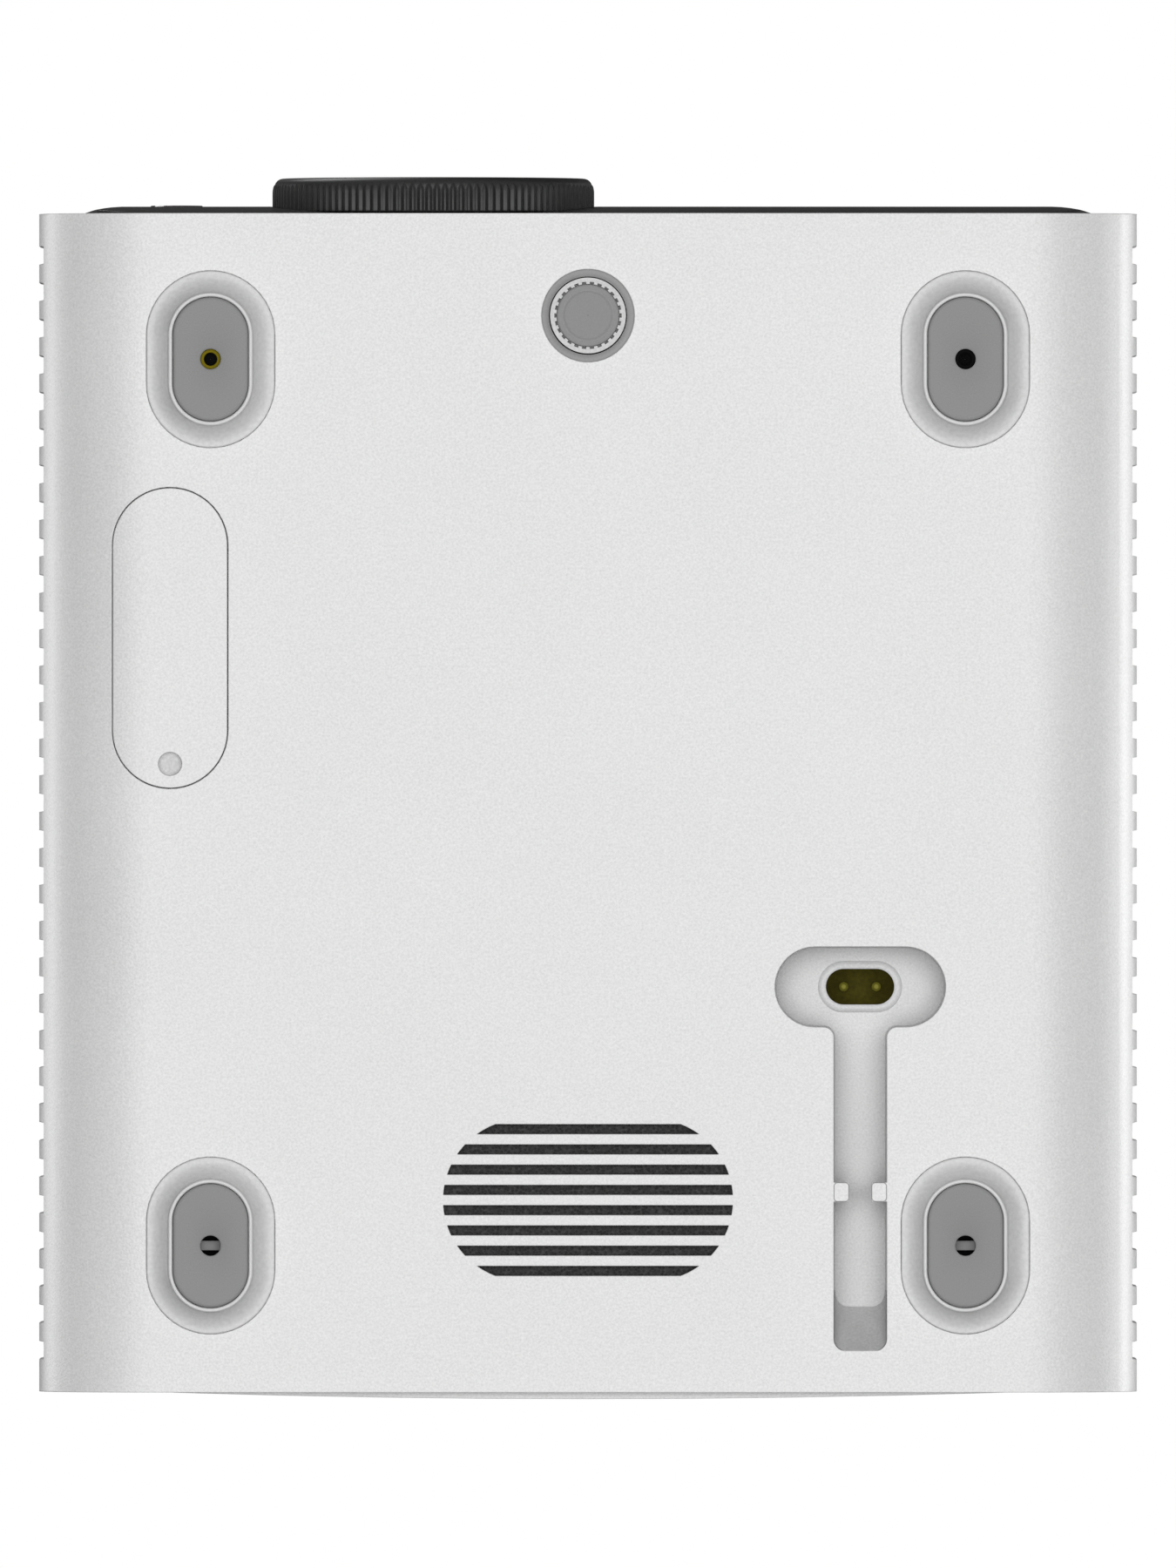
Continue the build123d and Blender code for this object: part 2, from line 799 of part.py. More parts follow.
# Four feet: round-ended plates let into the shell, each with a pocket for its pad and a hole
with BuildPart() as one_foot:
    profile = foot_profile(foot_reach - running_gap)
    for end in (-1, 1):
        with BuildSketch(Plane.XZ.offset(-end * foot_half_straight)):
            add(profile)
        revolve(axis=Axis((0, end * foot_half_straight, 0), (0, 0, 1)))
    with BuildSketch(Plane.XZ.offset(foot_half_straight)):
        add(profile)
        mirror(profile, about=Plane.YZ)
    extrude(amount=-2 * foot_half_straight)
    with BuildSketch(level(0)):
        SlotOverall(pad_length + slide_gap, pad_width + slide_gap, rotation=90)
    extrude(amount=pad_top, mode=Mode.SUBTRACT)
    with BuildSketch(level(0)):
        Circle(foot_hole / 2)
    extrude(amount=key_bar_top, mode=Mode.SUBTRACT)

with BuildPart() as one_pad:
    with BuildSketch(level(0)):
        SlotOverall(pad_length, pad_width, rotation=90)
        Circle(foot_hole / 2, mode=Mode.SUBTRACT)
    extrude(amount=pad_top)

foot_names = ["front_left", "front_right", "rear_left", "rear_right"]
for name, place in zip(foot_names, foot_places):
    with BuildPart() as foot:
        with Locations(place):
            add(one_foot.part)
        # The rear feet have a bar across the bottom of the hole
        if place[1] > 0:
            with BuildSketch(level(key_bar_top - key_bar_depth)):
                with Locations(place):
                    Rectangle(foot_hole, key_bar_width)
            extrude(amount=key_bar_depth)
    save(foot, f"foot_{name}")
    with BuildPart() as pad:
        with Locations(place):
            add(one_pad.part)
    save(pad, f"foot_pad_{name}")

# Threaded bushes, pressed into the two front feet
for name, place in zip(foot_names[:2], foot_places[:2]):
    with BuildPart() as insert:
        with BuildSketch(level(pad_top)):
            with Locations(place):
                Circle(foot_hole / 2)
                Circle(insert_bore / 2, mode=Mode.SUBTRACT)
        extrude(amount=insert_length)
    save(insert, f"insert_{name}")

# Collar of the screw foot, fixed in the shell
tilt_radius = tilt_screw_diameter / 2
with BuildPart() as tilt_collar:
    with BuildSketch(level(floor_z + tilt_recess)):
        with Locations((0, tilt_y)):
            Circle(tilt_collar_diameter / 2)
            Circle(tilt_radius + slide_gap, mode=Mode.SUBTRACT)
    extrude(amount=tilt_collar_height)
    with BuildSketch(level(floor_z + 2 * wall)):
        with Locations((0, tilt_y)):
            Circle(tilt_collar_diameter / 2 + wall)
            Circle(tilt_radius + slide_gap, mode=Mode.SUBTRACT)
    extrude(amount=wall)
save(tilt_collar, "tilt_collar")

# Sliding column of the screw foot
tilt_pad_radius = tilt_pad_diameter / 2
tilt_pad_depth = 6.0
tilt_stem_radius = 4.0
with BuildPart() as tilt_column:
    with BuildSketch(level(tilt_clearance + tilt_pad_depth)):
        with Locations((0, tilt_y)):
            Circle(tilt_radius)
    extrude(amount=tilt_screw_length - tilt_pad_depth)
    with BuildSketch(level(tilt_clearance + tilt_pad_depth)):
        with Locations((0, tilt_y)):
            Circle(tilt_stem_radius + running_gap)
    extrude(amount=tilt_pad_depth, mode=Mode.SUBTRACT)
save(tilt_column, "tilt_column")

# Knob that turns on the column's end, with a notched rubber pad in it
notch_width = 1.1
with BuildPart() as tilt_knob:
    with BuildSketch(level(tilt_clearance + 0.6)):
        with Locations((0, tilt_y)):
            Circle(tilt_radius)
    extrude(amount=tilt_pad_depth - 0.6 - slide_gap)
    with BuildSketch(level(tilt_clearance + 0.6)):
        with Locations((0, tilt_y)):
            Circle(tilt_pad_radius)
            with PolarLocations(tilt_pad_radius, tilt_notches):
                Rectangle(notch_width, notch_width)
    extrude(amount=tilt_pad_depth - 3.0, mode=Mode.SUBTRACT)
    with BuildSketch(level(tilt_clearance + tilt_pad_depth - slide_gap)):
        with Locations((0, tilt_y)):
            Circle(tilt_stem_radius)
    extrude(amount=tilt_pad_depth - 1)
save(tilt_knob, "tilt_knob")

with BuildPart() as tilt_pad:
    with BuildSketch(level(tilt_clearance + 0.3)):
        with Locations((0, tilt_y)):
            Circle(tilt_pad_radius - running_gap)
    extrude(amount=tilt_pad_depth - 3.0 + 0.3)
    with BuildSketch(level(tilt_clearance)):
        with Locations((0, tilt_y)):
            Circle(tilt_pad_centre / 2)
    extrude(amount=0.3)
save(tilt_pad, "tilt_pad")

# ---------------------------------------------------------------- filter hatch
with BuildPart() as filter_hatch:
    with BuildSketch(level(floor_z)):
        with Locations((hatch_x, hatch_y)):
            SlotOverall(hatch_length, hatch_width, rotation=90)
    extrude(amount=hatch_thickness)
    with BuildSketch(upright(front_y)):
        with Locations((0, middle_z)):
            RectangleRounded(body_width, body_height, corner_radius)
    extrude(amount=-body_depth, mode=Mode.INTERSECT)
    # Finger dimple
    with BuildSketch(level(floor_z)):
        with Locations((hatch_x, hatch_dimple_y)):
            Circle(hatch_dimple / 2)
    extrude(amount=hatch_dimple_depth, mode=Mode.SUBTRACT)
    # Air slots of the cassette behind the lid
    with BuildSketch(level(floor_z + hatch_thickness)):
        with Locations((hatch_x, hatch_y)):
            SlotOverall(
                hatch_length - 2 * hatch_ledge - 2 * slide_gap,
                hatch_width - 2 * hatch_ledge - 2 * slide_gap,
                rotation=90,
            )
            SlotOverall(
                hatch_length - 2 * hatch_ledge - 2 * slide_gap - 3,
                hatch_width - 2 * hatch_ledge - 2 * slide_gap - 3,
                rotation=90,
                mode=Mode.SUBTRACT,
            )
    extrude(amount=filter_height)
save(filter_hatch, "filter_hatch")

with BuildPart() as filter_foam:
    with BuildSketch(level(floor_z + hatch_thickness)):
        with Locations((hatch_x, hatch_y)):
            SlotOverall(
                hatch_length - 2 * hatch_ledge - 2 * slide_gap - 3,
                hatch_width - 2 * hatch_ledge - 2 * slide_gap - 3,
                rotation=90,
            )
    extrude(amount=filter_height - 1)
save(filter_foam, "filter_foam")

# ---------------------------------------------------------------- speaker
with BuildPart() as speaker_mesh:
    with BuildSketch(level(inside_floor_z)):
        with Locations((0, speaker_y)):
            SlotOverall(grille_width + 2 * speaker_rim, grille_height + 2 * speaker_rim)
    extrude(amount=mesh_thickness)
save(speaker_mesh, "speaker_mesh")

speaker_z = inside_floor_z + mesh_thickness
with BuildPart() as speaker_frame:
    with BuildSketch(level(speaker_z)):
        with Locations((0, speaker_y)):
            SlotOverall(grille_width + 2 * speaker_rim, grille_height + 2 * speaker_rim)
            SlotOverall(grille_width - 2 * speaker_rim, grille_height - 2 * speaker_rim, mode=Mode.SUBTRACT)
    extrude(amount=4)
    with BuildSketch(level(speaker_z + 4)):
        with Locations((0, speaker_y)):
            SlotOverall(grille_width - speaker_rim, grille_height - speaker_rim)
    extrude(amount=speaker_depth / 2 - 4, taper=speaker_taper)
    with BuildSketch(level(speaker_z + speaker_depth / 2)):
        with Locations((0, speaker_y)):
            Circle(speaker_magnet_radius)
    extrude(amount=speaker_depth / 2)
save(speaker_frame, "speaker_frame")

with BuildPart() as speaker_cone:
    with BuildSketch(level(speaker_z + 0.8)):
        with Locations((0, speaker_y)):
            SlotOverall(grille_width - 2 * speaker_rim, grille_height - 2 * speaker_rim)
    extrude(amount=0.8)
    with BuildSketch(level(speaker_z + 1.6)):
        with Locations((0, speaker_y)):
            SlotOverall(grille_width - 4 * speaker_rim, grille_height - 4 * speaker_rim)
    extrude(amount=2.4, taper=30)
save(speaker_cone, "speaker_cone")

# ---------------------------------------------------------------- power inlet
inlet_floor_z = floor_z + channel_depth
with BuildPart() as power_inlet:
    with BuildSketch(level(inlet_floor_z)):
        with Locations((inlet_x, inlet_y)):
            SlotOverall(inlet_width + 2 * inlet_wall, inlet_height + 2 * inlet_wall)
    extrude(amount=inlet_depth + inlet_wall)
    with BuildSketch(level(inlet_floor_z + channel_wall)):
        with Locations((inlet_x, inlet_y)):
            Rectangle(inlet_width + 12, inlet_height + 6)
    extrude(amount=inlet_wall)
    with BuildSketch(level(inlet_floor_z)):
        with Locations((inlet_x, inlet_y)):
            SlotOverall(inlet_width, inlet_height)
    extrude(amount=inlet_depth, mode=Mode.SUBTRACT)
save(power_inlet, "power_inlet")

with BuildPart() as inlet_pins:
    with BuildSketch(level(inlet_floor_z + inlet_depth - pin_length)):
        with Locations((inlet_x, inlet_y)):
            with GridLocations(pin_spacing, 0, 2, 1):
                Circle(pin_diameter / 2)
    extrude(amount=pin_length)
    chamfer(inlet_pins.faces().group_by(Axis.Z)[0].edges(), pin_diameter / 4)
save(inlet_pins, "inlet_pins")

# ---------------------------------------------------------------- disc drive
tray_front_y = panel_back_y
pan_front_y = panel_back_y + slide_gap
tray_floor_z = drive_z - tray_height / 2
pan_floor_z = drive_z - pan_height / 2
pan_inner_width = tray_width + 2 * slide_gap
pan_depth = tray_depth + 6.0
disc_centre_y = tray_front_y + tray_depth / 2
recess_floor_z = tray_floor_z + tray_height - disc_recess_depth
rod_x = pickup_width / 2 - 3
well_depth_y = disc_diameter / 2 - 6

# Pan: folded sheet, open in front, that guides the tray along both sides
with BuildPart() as drive_pan:
    with BuildSketch(level(pan_floor_z)):
        with Locations((drive_x, pan_front_y + pan_depth / 2)):
            Rectangle(pan_inner_width + 2 * pan_wall, pan_depth)
    extrude(amount=pan_height)
    with BuildSketch(upright(pan_front_y)):
        with Locations((drive_x, pan_floor_z + pan_wall + (pan_height - 2 * pan_wall) / 2)):
            Rectangle(pan_inner_width, pan_height - 2 * pan_wall)
    extrude(amount=-(pan_depth - pan_wall), mode=Mode.SUBTRACT)
    # Runners under the tray
    with BuildSketch(upright(pan_front_y + 2)):
        for side in (-1, 1):
            with Locations((drive_x + side * (pan_inner_width / 2 - 3), pan_floor_z + pan_wall)):
                Rectangle(
                    6,
                    tray_floor_z - slide_gap - pan_floor_z - pan_wall,
                    align=(Align.CENTER, Align.MIN),
                )
    extrude(amount=-(pan_depth - 4))
    # Window in the lid that lightens the sheet
    with BuildSketch(level(pan_floor_z + pan_height)):
        with Locations((drive_x, disc_centre_y)):
            Circle(disc_hole)
    extrude(amount=-pan_wall, mode=Mode.SUBTRACT)
save(drive_pan, "drive_pan")

# Tray: a round recess for the disc, and a well for the spindle and the pickup
with BuildPart() as disc_tray:
    with BuildSketch(level(tray_floor_z)):
        with Locations((drive_x, tray_front_y + tray_depth / 2)):
            Rectangle(tray_width, tray_depth)
    extrude(amount=tray_height)
    with BuildSketch(level(recess_floor_z)):
        with Locations((drive_x, disc_centre_y)):
            Circle(disc_diameter / 2 + disc_margin)
    extrude(amount=disc_recess_depth, mode=Mode.SUBTRACT)
    with BuildSketch(level(tray_floor_z)):
        with Locations((drive_x, disc_centre_y)):
            Circle(spindle_radius + well_margin)
        with Locations((drive_x, disc_centre_y - well_depth_y / 2)):
            Rectangle(pickup_window_width, well_depth_y)
    extrude(amount=tray_height, mode=Mode.SUBTRACT)
    # Web under the spindle motor and the rods
    with BuildSketch(level(tray_floor_z)):
        with Locations((drive_x, disc_centre_y)):
            Circle(spindle_radius + well_margin)
        with Locations((drive_x, disc_centre_y - well_depth_y / 2)):
            Rectangle(pickup_window_width, well_depth_y)
    extrude(amount=web_thickness)
save(disc_tray, "disc_tray")

# Door on the tray's front: a piece of the bowed front panel
with BuildPart() as tray_door:
    add(front_shape)
    add(
        extrude(door_outline(0), amount=-2 * ring_proud, mode=Mode.PRIVATE),
        mode=Mode.INTERSECT,
    )
save(tray_door, "tray_door")

web_top_z = tray_floor_z + web_thickness
with BuildPart() as spindle_motor:
    with BuildSketch(level(web_top_z)):
        with Locations((drive_x, disc_centre_y)):
            Circle(spindle_radius - 1)
    extrude(amount=motor_height)
    with BuildSketch(level(web_top_z)):
        with Locations((drive_x, disc_centre_y)):
            Circle(spindle_shaft_radius)
    extrude(amount=motor_height + spindle_shaft_radius)
save(spindle_motor, "spindle_motor")

turntable_z = web_top_z + motor_height + slide_gap
with BuildPart() as turntable:
    with BuildSketch(level(turntable_z)):
        with Locations((drive_x, disc_centre_y)):
            Circle(spindle_radius)
    extrude(amount=recess_floor_z + turntable_plate - turntable_z)
    with BuildSketch(level(recess_floor_z + turntable_plate)):
        with Locations((drive_x, disc_centre_y)):
            Circle(disc_hole / 2 - 0.1)
    extrude(amount=turntable_hub_height)
    chamfer(turntable.edges().group_by(Axis.Z)[-1], 0.8)
    with BuildSketch(level(turntable_z)):
        with Locations((drive_x, disc_centre_y)):
            Circle(spindle_shaft_radius + running_gap)
    extrude(amount=turntable_bore_depth, mode=Mode.SUBTRACT)
save(turntable, "turntable")

# Guide rods either side of the pickup
rod_z = web_top_z + rod_diameter / 2
rod_start_y = disc_centre_y - well_depth_y
with BuildPart() as guide_rods:
    with BuildSketch(upright(rod_start_y)):
        with Locations((drive_x, rod_z)):
            with GridLocations(2 * rod_x, 0, 2, 1):
                Circle(rod_diameter / 2)
    extrude(amount=-(well_depth_y - spindle_radius))
save(guide_rods, "guide_rods")

pickup_y = disc_centre_y - spindle_radius - well_margin - pickup_length / 2 - 0.5
pickup_z = web_top_z + slide_gap
with BuildPart() as laser_pickup:
    with BuildSketch(level(pickup_z)):
        with Locations((drive_x, pickup_y)):
            Rectangle(pickup_width, pickup_length)
    extrude(amount=pickup_height)
    with BuildSketch(level(pickup_z + pickup_height)):
        with Locations((drive_x, pickup_y)):
            Circle(pickup_lens_radius)
    extrude(amount=pickup_lens_proud)
    with BuildSketch(upright(pickup_y - pickup_length)):
        with Locations((drive_x, rod_z)):
            with GridLocations(2 * rod_x, 0, 2, 1):
                Circle(rod_diameter / 2 + running_gap)
    extrude(amount=-2 * pickup_length, mode=Mode.SUBTRACT)
save(laser_pickup, "laser_pickup")

# ---------------------------------------------------------------- rear
vent_slot_pitch = 6.0
vent_slot_width = 3.0
vent_slot_count = 9
jack_z = 30.0
bow_half = panel_width / 2 + wall
bow_drop = (rear_rise + rear_inset) * (2 * bow_half / panel_width) ** 2
jack_first_x = -22.0
jack_pitch = 15.0
jack_places = [(jack_first_x + jack_pitch * i, jack_z) for i in range(3)]
jack_outer = 4.2
jack_inner = 3.2
hdmi_place = (-46.0, jack_z)
hdmi_size = (15.4, 6.4)
usb_place = (38.0, jack_z)
usb_size = (14.0, 6.4)
phone_place = (51.0, jack_z)
phone_radius = 3.3
phone_bore = 1.8

with BuildPart() as rear_panel:
    with BuildSketch(upright(rear_panel_y)):
        with Locations((0, middle_z)):
            RectangleRounded(panel_width, panel_height, panel_corner)
    extrude(amount=-(panel_plate + rear_rise))
    with BuildSketch(level(floor_z)):
        with BuildLine():
            outer = ThreePointArc(
                (-bow_half, rear_y + rear_rise - bow_drop),
                (0, rear_y + rear_rise),
                (bow_half, rear_y + rear_rise - bow_drop),
            )
            Polyline(outer @ 1, (bow_half, rear_panel_y), (-bow_half, rear_panel_y), outer @ 0)
        make_face()
    extrude(amount=body_height, mode=Mode.INTERSECT)
    with BuildSketch(upright(rear_panel_y)):
        with Locations((0, middle_z)):
            RectangleRounded(
                panel_width + 2 * panel_flange,
                panel_height + panel_margin,
                panel_corner + panel_flange / 2,
            )
            RectangleRounded(panel_width - 2 * wall, panel_height - 2 * wall, panel_corner, mode=Mode.SUBTRACT)
    extrude(amount=panel_flange)
    # Exhaust slots in front of the fan
    with BuildSketch(upright(rear_panel_y)):
        with Locations((exhaust_x, middle_z)):
            with GridLocations(0, vent_slot_pitch, 1, vent_slot_count):
                Rectangle(fan_size - 4, vent_slot_width)
    extrude(amount=-2 * panel_plate, mode=Mode.SUBTRACT)
    # Openings for the sockets
    with BuildSketch(upright(rear_panel_y)):
        with Locations(*jack_places):
            Circle(jack_outer + slide_gap)
        for place, size in ((hdmi_place, hdmi_size), (usb_place, usb_size)):
            with Locations(place):
                Rectangle(size[0] + 2 * slide_gap, size[1] + 2 * slide_gap)
        with Locations(phone_place):
            Circle(phone_radius + slide_gap)
    extrude(amount=-2 * panel_plate, mode=Mode.SUBTRACT)
save(rear_panel, "rear_panel")

jack_proud = 1.0
jack_bore = 10.0
jack_block = (11.0, 12.0)
jack_block_depth = 10.0
for name, place in zip(("video_jack", "left_sound_jack", "right_sound_jack"), jack_places):
    with BuildPart() as jack:
        with BuildSketch(upright(rear_panel_y - jack_block_depth)):
            with Locations(place):
                Rectangle(*jack_block)
        extrude(amount=-jack_block_depth)
        with BuildSketch(upright(rear_panel_y)):
            with Locations(place):
                Circle(jack_outer)
        extrude(amount=-(panel_plate + jack_proud))
        with BuildSketch(upright(rear_panel_y + panel_plate + jack_proud)):
            with Locations(place):
                Circle(jack_inner)
        extrude(amount=jack_bore, mode=Mode.SUBTRACT)
    save(jack, name)


socket_mouth_y = rear_y + 0.2
socket_depth = 14.0
socket_bore_depth = 12.0
socket_wall = 0.5
tongue_size = (11.0, 1.2)
tongue_setback = 1.0


def socket_shell(name, place, width, height):
    """A folded metal socket with a flat contact tongue inside."""
    with BuildPart() as socket:
        with BuildSketch(upright(socket_mouth_y)):
            with Locations(place):
                Rectangle(width, height)
        extrude(amount=socket_depth)
        with BuildSketch(upright(socket_mouth_y)):
            with Locations(place):
                Rectangle(width - 2 * socket_wall, height - 2 * socket_wall)
        extrude(amount=socket_bore_depth, mode=Mode.SUBTRACT)
        with BuildSketch(upright(rear_y - tongue_setback)):
            with Locations(place):
                Rectangle(*tongue_size)
        extrude(amount=socket_bore_depth)
    save(socket, name)


socket_shell("hdmi_socket", hdmi_place, *hdmi_size)
socket_shell("usb_socket", usb_place, *usb_size)

with BuildPart() as phone_socket:
    with BuildSketch(upright(socket_mouth_y)):
        with Locations(phone_place):
            Circle(phone_radius)
    extrude(amount=socket_depth)
    with BuildSketch(upright(socket_mouth_y)):
        with Locations(phone_place):
            Circle(phone_bore)
    extrude(amount=socket_bore_depth, mode=Mode.SUBTRACT)
save(phone_socket, "phone_socket")

# Main board lies along the rear, under the sockets
board_top_z = jack_z - 6.0
board_width = 124.0
board_depth = 18.0
board_post_inset = 4.0
board_x = -6.0
board_back_y = rear_panel_y - panel_flange - 1.0
with BuildPart() as main_board:
    with BuildSketch(level(board_top_z - board_thickness)):
        with Locations((board_x, board_back_y - board_depth / 2)):
            Rectangle(board_width, board_depth)
    extrude(amount=board_thickness)
    with BuildSketch(level(board_top_z - board_thickness)):
        with Locations((board_x, board_back_y - board_depth / 2)):
            with GridLocations(board_width - 2 * board_post_inset, board_depth - 2 * board_post_inset, 2, 2):
                Rectangle(board_post, board_post)
    extrude(amount=-(board_top_z - board_thickness - inside_floor_z))
save(main_board, "main_board")

# Power board over the cord channel, on four pillars
power_x = body_width / 2 - 73.0
power_y = rear_y - 101.35
power_z = inside_floor_z + 27.5
power_board_size = (96.0, 74.0)
power_post_spacing = (76.0, 48.0)
part_offset = 24.0
transformer_size = (34.0, 40.0)
coil_size = (22.0, 26.0)
capacitor_radius = 11.0
power_part_height = 24.0
with BuildPart() as power_board:
    with BuildSketch(level(power_z)):
        with Locations((power_x, power_y)):
            Rectangle(*power_board_size)
    extrude(amount=board_thickness)
    with BuildSketch(level(power_z)):
        with Locations((power_x, power_y)):
            with GridLocations(*power_post_spacing, 2, 2):
                Rectangle(board_post, board_post)
    extrude(amount=-(power_z - inside_floor_z))
    with BuildSketch(level(power_z + board_thickness)):
        with Locations((power_x - part_offset, power_y + 8)):
            Rectangle(*transformer_size)
        with Locations((power_x + part_offset, power_y + 16)):
            Circle(capacitor_radius)
        with Locations((power_x + part_offset, power_y - 16)):
            Rectangle(*coil_size)
    extrude(amount=power_part_height)
save(power_board, "power_board")


# ---------------------------------------------------------------- fans
def fan_pair(name, place):
    """A square fan frame with three struts, and the bladed wheel that spins on its hub."""
    centre_x, centre_y, centre_z = place
    start_y = centre_y - fan_depth / 2
    with BuildPart() as frame:
        with BuildSketch(upright(start_y)):
            with Locations((centre_x, centre_z)):
                Rectangle(fan_size, fan_size)
                Circle(fan_blade_radius + fan_blade_gap, mode=Mode.SUBTRACT)
        extrude(amount=-fan_depth)
        with BuildSketch(upright(start_y)):
            with Locations((centre_x, centre_z)):
                Circle(fan_hub_radius)
                with PolarLocations((fan_hub_radius + fan_blade_radius) / 2, 3, start_angle=30):
                    Rectangle(fan_blade_radius - fan_hub_radius + 5, fan_strut_width)
        extrude(amount=-fan_strut)
        with BuildSketch(upright(start_y)):
            with Locations((centre_x, centre_z)):
                Circle(fan_pin_radius)
        extrude(amount=-(fan_depth - 2 * fan_strut))
    save(frame, f"{name}_fan_frame")
    with BuildPart() as wheel:
        with BuildSketch(upright(start_y + fan_strut + slide_gap)):
            with Locations((centre_x, centre_z)):
                Circle(fan_hub_radius)
        extrude(amount=-(fan_depth - 2 * fan_strut))
        for i in range(fan_blades):
            with BuildSketch(
                Plane(
                    origin=(centre_x, start_y + fan_depth / 2, centre_z),
                    x_dir=(0, 1, 0),
                    z_dir=(sin(2 * pi * i / fan_blades), 0, cos(2 * pi * i / fan_blades)),
                )
            ):
                Rectangle(fan_depth - 5, fan_blade_thickness, rotation=fan_blade_tilt)
            extrude(amount=fan_blade_radius)
        with BuildSketch(upright(start_y)):
            with Locations((centre_x, centre_z)):
                Circle(fan_pin_radius + running_gap)
        extrude(amount=-(fan_depth - 2 * fan_strut + slide_gap), mode=Mode.SUBTRACT)
    save(wheel, f"{name}_fan_wheel")


fan_pair("exhaust", (exhaust_x, rear_panel_y - fan_depth / 2, middle_z))
fan_pair("lamp", (lens_x, sink_y + sink_depth + fan_depth / 2 + slide_gap, middle_z))
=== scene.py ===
"""Looks of the projector with the disc tray: finishes, fine shapes, light and camera."""

import math

import bmesh
import bpy
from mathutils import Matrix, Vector


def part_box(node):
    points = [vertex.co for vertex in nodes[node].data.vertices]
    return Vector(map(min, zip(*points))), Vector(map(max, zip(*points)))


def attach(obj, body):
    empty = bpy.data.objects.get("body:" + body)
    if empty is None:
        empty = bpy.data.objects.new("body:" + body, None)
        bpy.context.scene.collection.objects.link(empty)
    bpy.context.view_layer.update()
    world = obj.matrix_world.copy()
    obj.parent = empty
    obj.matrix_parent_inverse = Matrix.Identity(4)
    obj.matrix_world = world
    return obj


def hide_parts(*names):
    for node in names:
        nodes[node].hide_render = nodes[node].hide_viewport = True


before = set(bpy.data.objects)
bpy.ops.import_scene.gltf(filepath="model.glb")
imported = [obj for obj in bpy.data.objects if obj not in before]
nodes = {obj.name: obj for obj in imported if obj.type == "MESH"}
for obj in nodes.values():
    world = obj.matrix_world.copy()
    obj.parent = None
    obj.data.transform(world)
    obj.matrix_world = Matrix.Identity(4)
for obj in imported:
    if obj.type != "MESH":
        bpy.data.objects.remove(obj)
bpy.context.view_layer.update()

# ------------------------------------------------------------------ camera and studio
# The photograph looks straight up at the underside from far away, with the front at its top.
# The camera stands under a floor that can't be seen from below but is pale from above.
view_length = 0.414
view_distance = 14.0
view_plane_z = 0.025
view_centre_y = -0.0011
camera_data = bpy.data.cameras.new("camera")
camera_data.lens = camera_data.sensor_width * view_distance / view_length
camera_data.clip_end = 100
camera = bpy.data.objects.new("camera", camera_data)
camera.location = (0, view_centre_y, view_plane_z - view_distance)
camera.rotation_euler = (math.pi, 0, 0)
bpy.context.scene.collection.objects.link(camera)
bpy.context.scene.camera = camera
bpy.context.scene.view_settings.view_transform = "Standard"


def area_light(name, place, aim, size, power, shades=True, mirrored=True):
    """A soft rectangular lamp at place, turned towards aim, that lights matt or glossy light or both."""
    data = bpy.data.lights.new(name, "AREA")
    data.shape = "RECTANGLE"
    data.size, data.size_y = size
    data.energy = power
    lamp = bpy.data.objects.new(name, data)
    lamp.location = place
    lamp.rotation_euler = (Vector(aim) - Vector(place)).to_track_quat("-Z", "Y").to_euler()
    lamp.visible_diffuse = shades
    lamp.visible_glossy = mirrored
    bpy.context.scene.collection.objects.link(lamp)


# At each side a weak lamp lights the matt plastic and a strong one only gleams along the ribs
case_middle = (0, 0, 0.05)
left_place, left_size = (-1.6, 0.0, 0.95), (0.7, 1.4)
right_place, right_size = (1.6, 0.0, 0.95), (0.9, 1.4)
area_light("below", (0.1, -0.1, -3.0), case_middle, (2.6, 2.6), 92)
area_light("left_side", left_place, case_middle, left_size, 4.5, mirrored=False)
area_light("right_side", right_place, case_middle, right_size, 5, mirrored=False)
area_light("left_gleam", left_place, case_middle, left_size, 19, shades=False)
area_light("right_gleam", right_place, case_middle, right_size, 38, shades=False)
area_light("above", (0.3, -0.4, 1.6), case_middle, (1.4, 1.4), 10, mirrored=False)
area_light("front_high", (-0.7, -1.5, 0.9), case_middle, (0.9, 0.9), 12)
area_light("rear_high", (0.8, 1.5, 0.9), case_middle, (0.9, 0.9), 10)

# The sky looks white to the camera and through glass, but lights the case dimly
world = bpy.data.worlds.new("studio")
bpy.context.scene.world = world
world.use_nodes = True
sky = world.node_tree
sky.nodes.clear()
sky_out = sky.nodes.new("ShaderNodeOutputWorld")
sky_light = sky.nodes.new("ShaderNodeBackground")
sky_light.inputs["Color"].default_value = (1, 1, 1, 1)
sky_light.inputs["Strength"].default_value = 0.06
sky_white = sky.nodes.new("ShaderNodeBackground")
sky_white.inputs["Color"].default_value = (1, 1, 1, 1)
sky_mix = sky.nodes.new("ShaderNodeMixShader")
sky_path = sky.nodes.new("ShaderNodeLightPath")
sky_seen = sky.nodes.new("ShaderNodeMath")
sky_seen.operation = "MAXIMUM"
sky.links.new(sky_path.outputs["Is Camera Ray"], sky_seen.inputs[0])
sky.links.new(sky_path.outputs["Is Transmission Ray"], sky_seen.inputs[1])
sky.links.new(sky_seen.outputs[0], sky_mix.inputs[0])
sky.links.new(sky_light.outputs[0], sky_mix.inputs[1])
sky.links.new(sky_white.outputs[0], sky_mix.inputs[2])
sky.links.new(sky_mix.outputs[0], sky_out.inputs["Surface"])


def add_object(name, mesh):
    """A new object with this mesh, placed in the scene."""
    item = bpy.data.objects.new(name, mesh)
    bpy.context.scene.collection.objects.link(item)
    return item


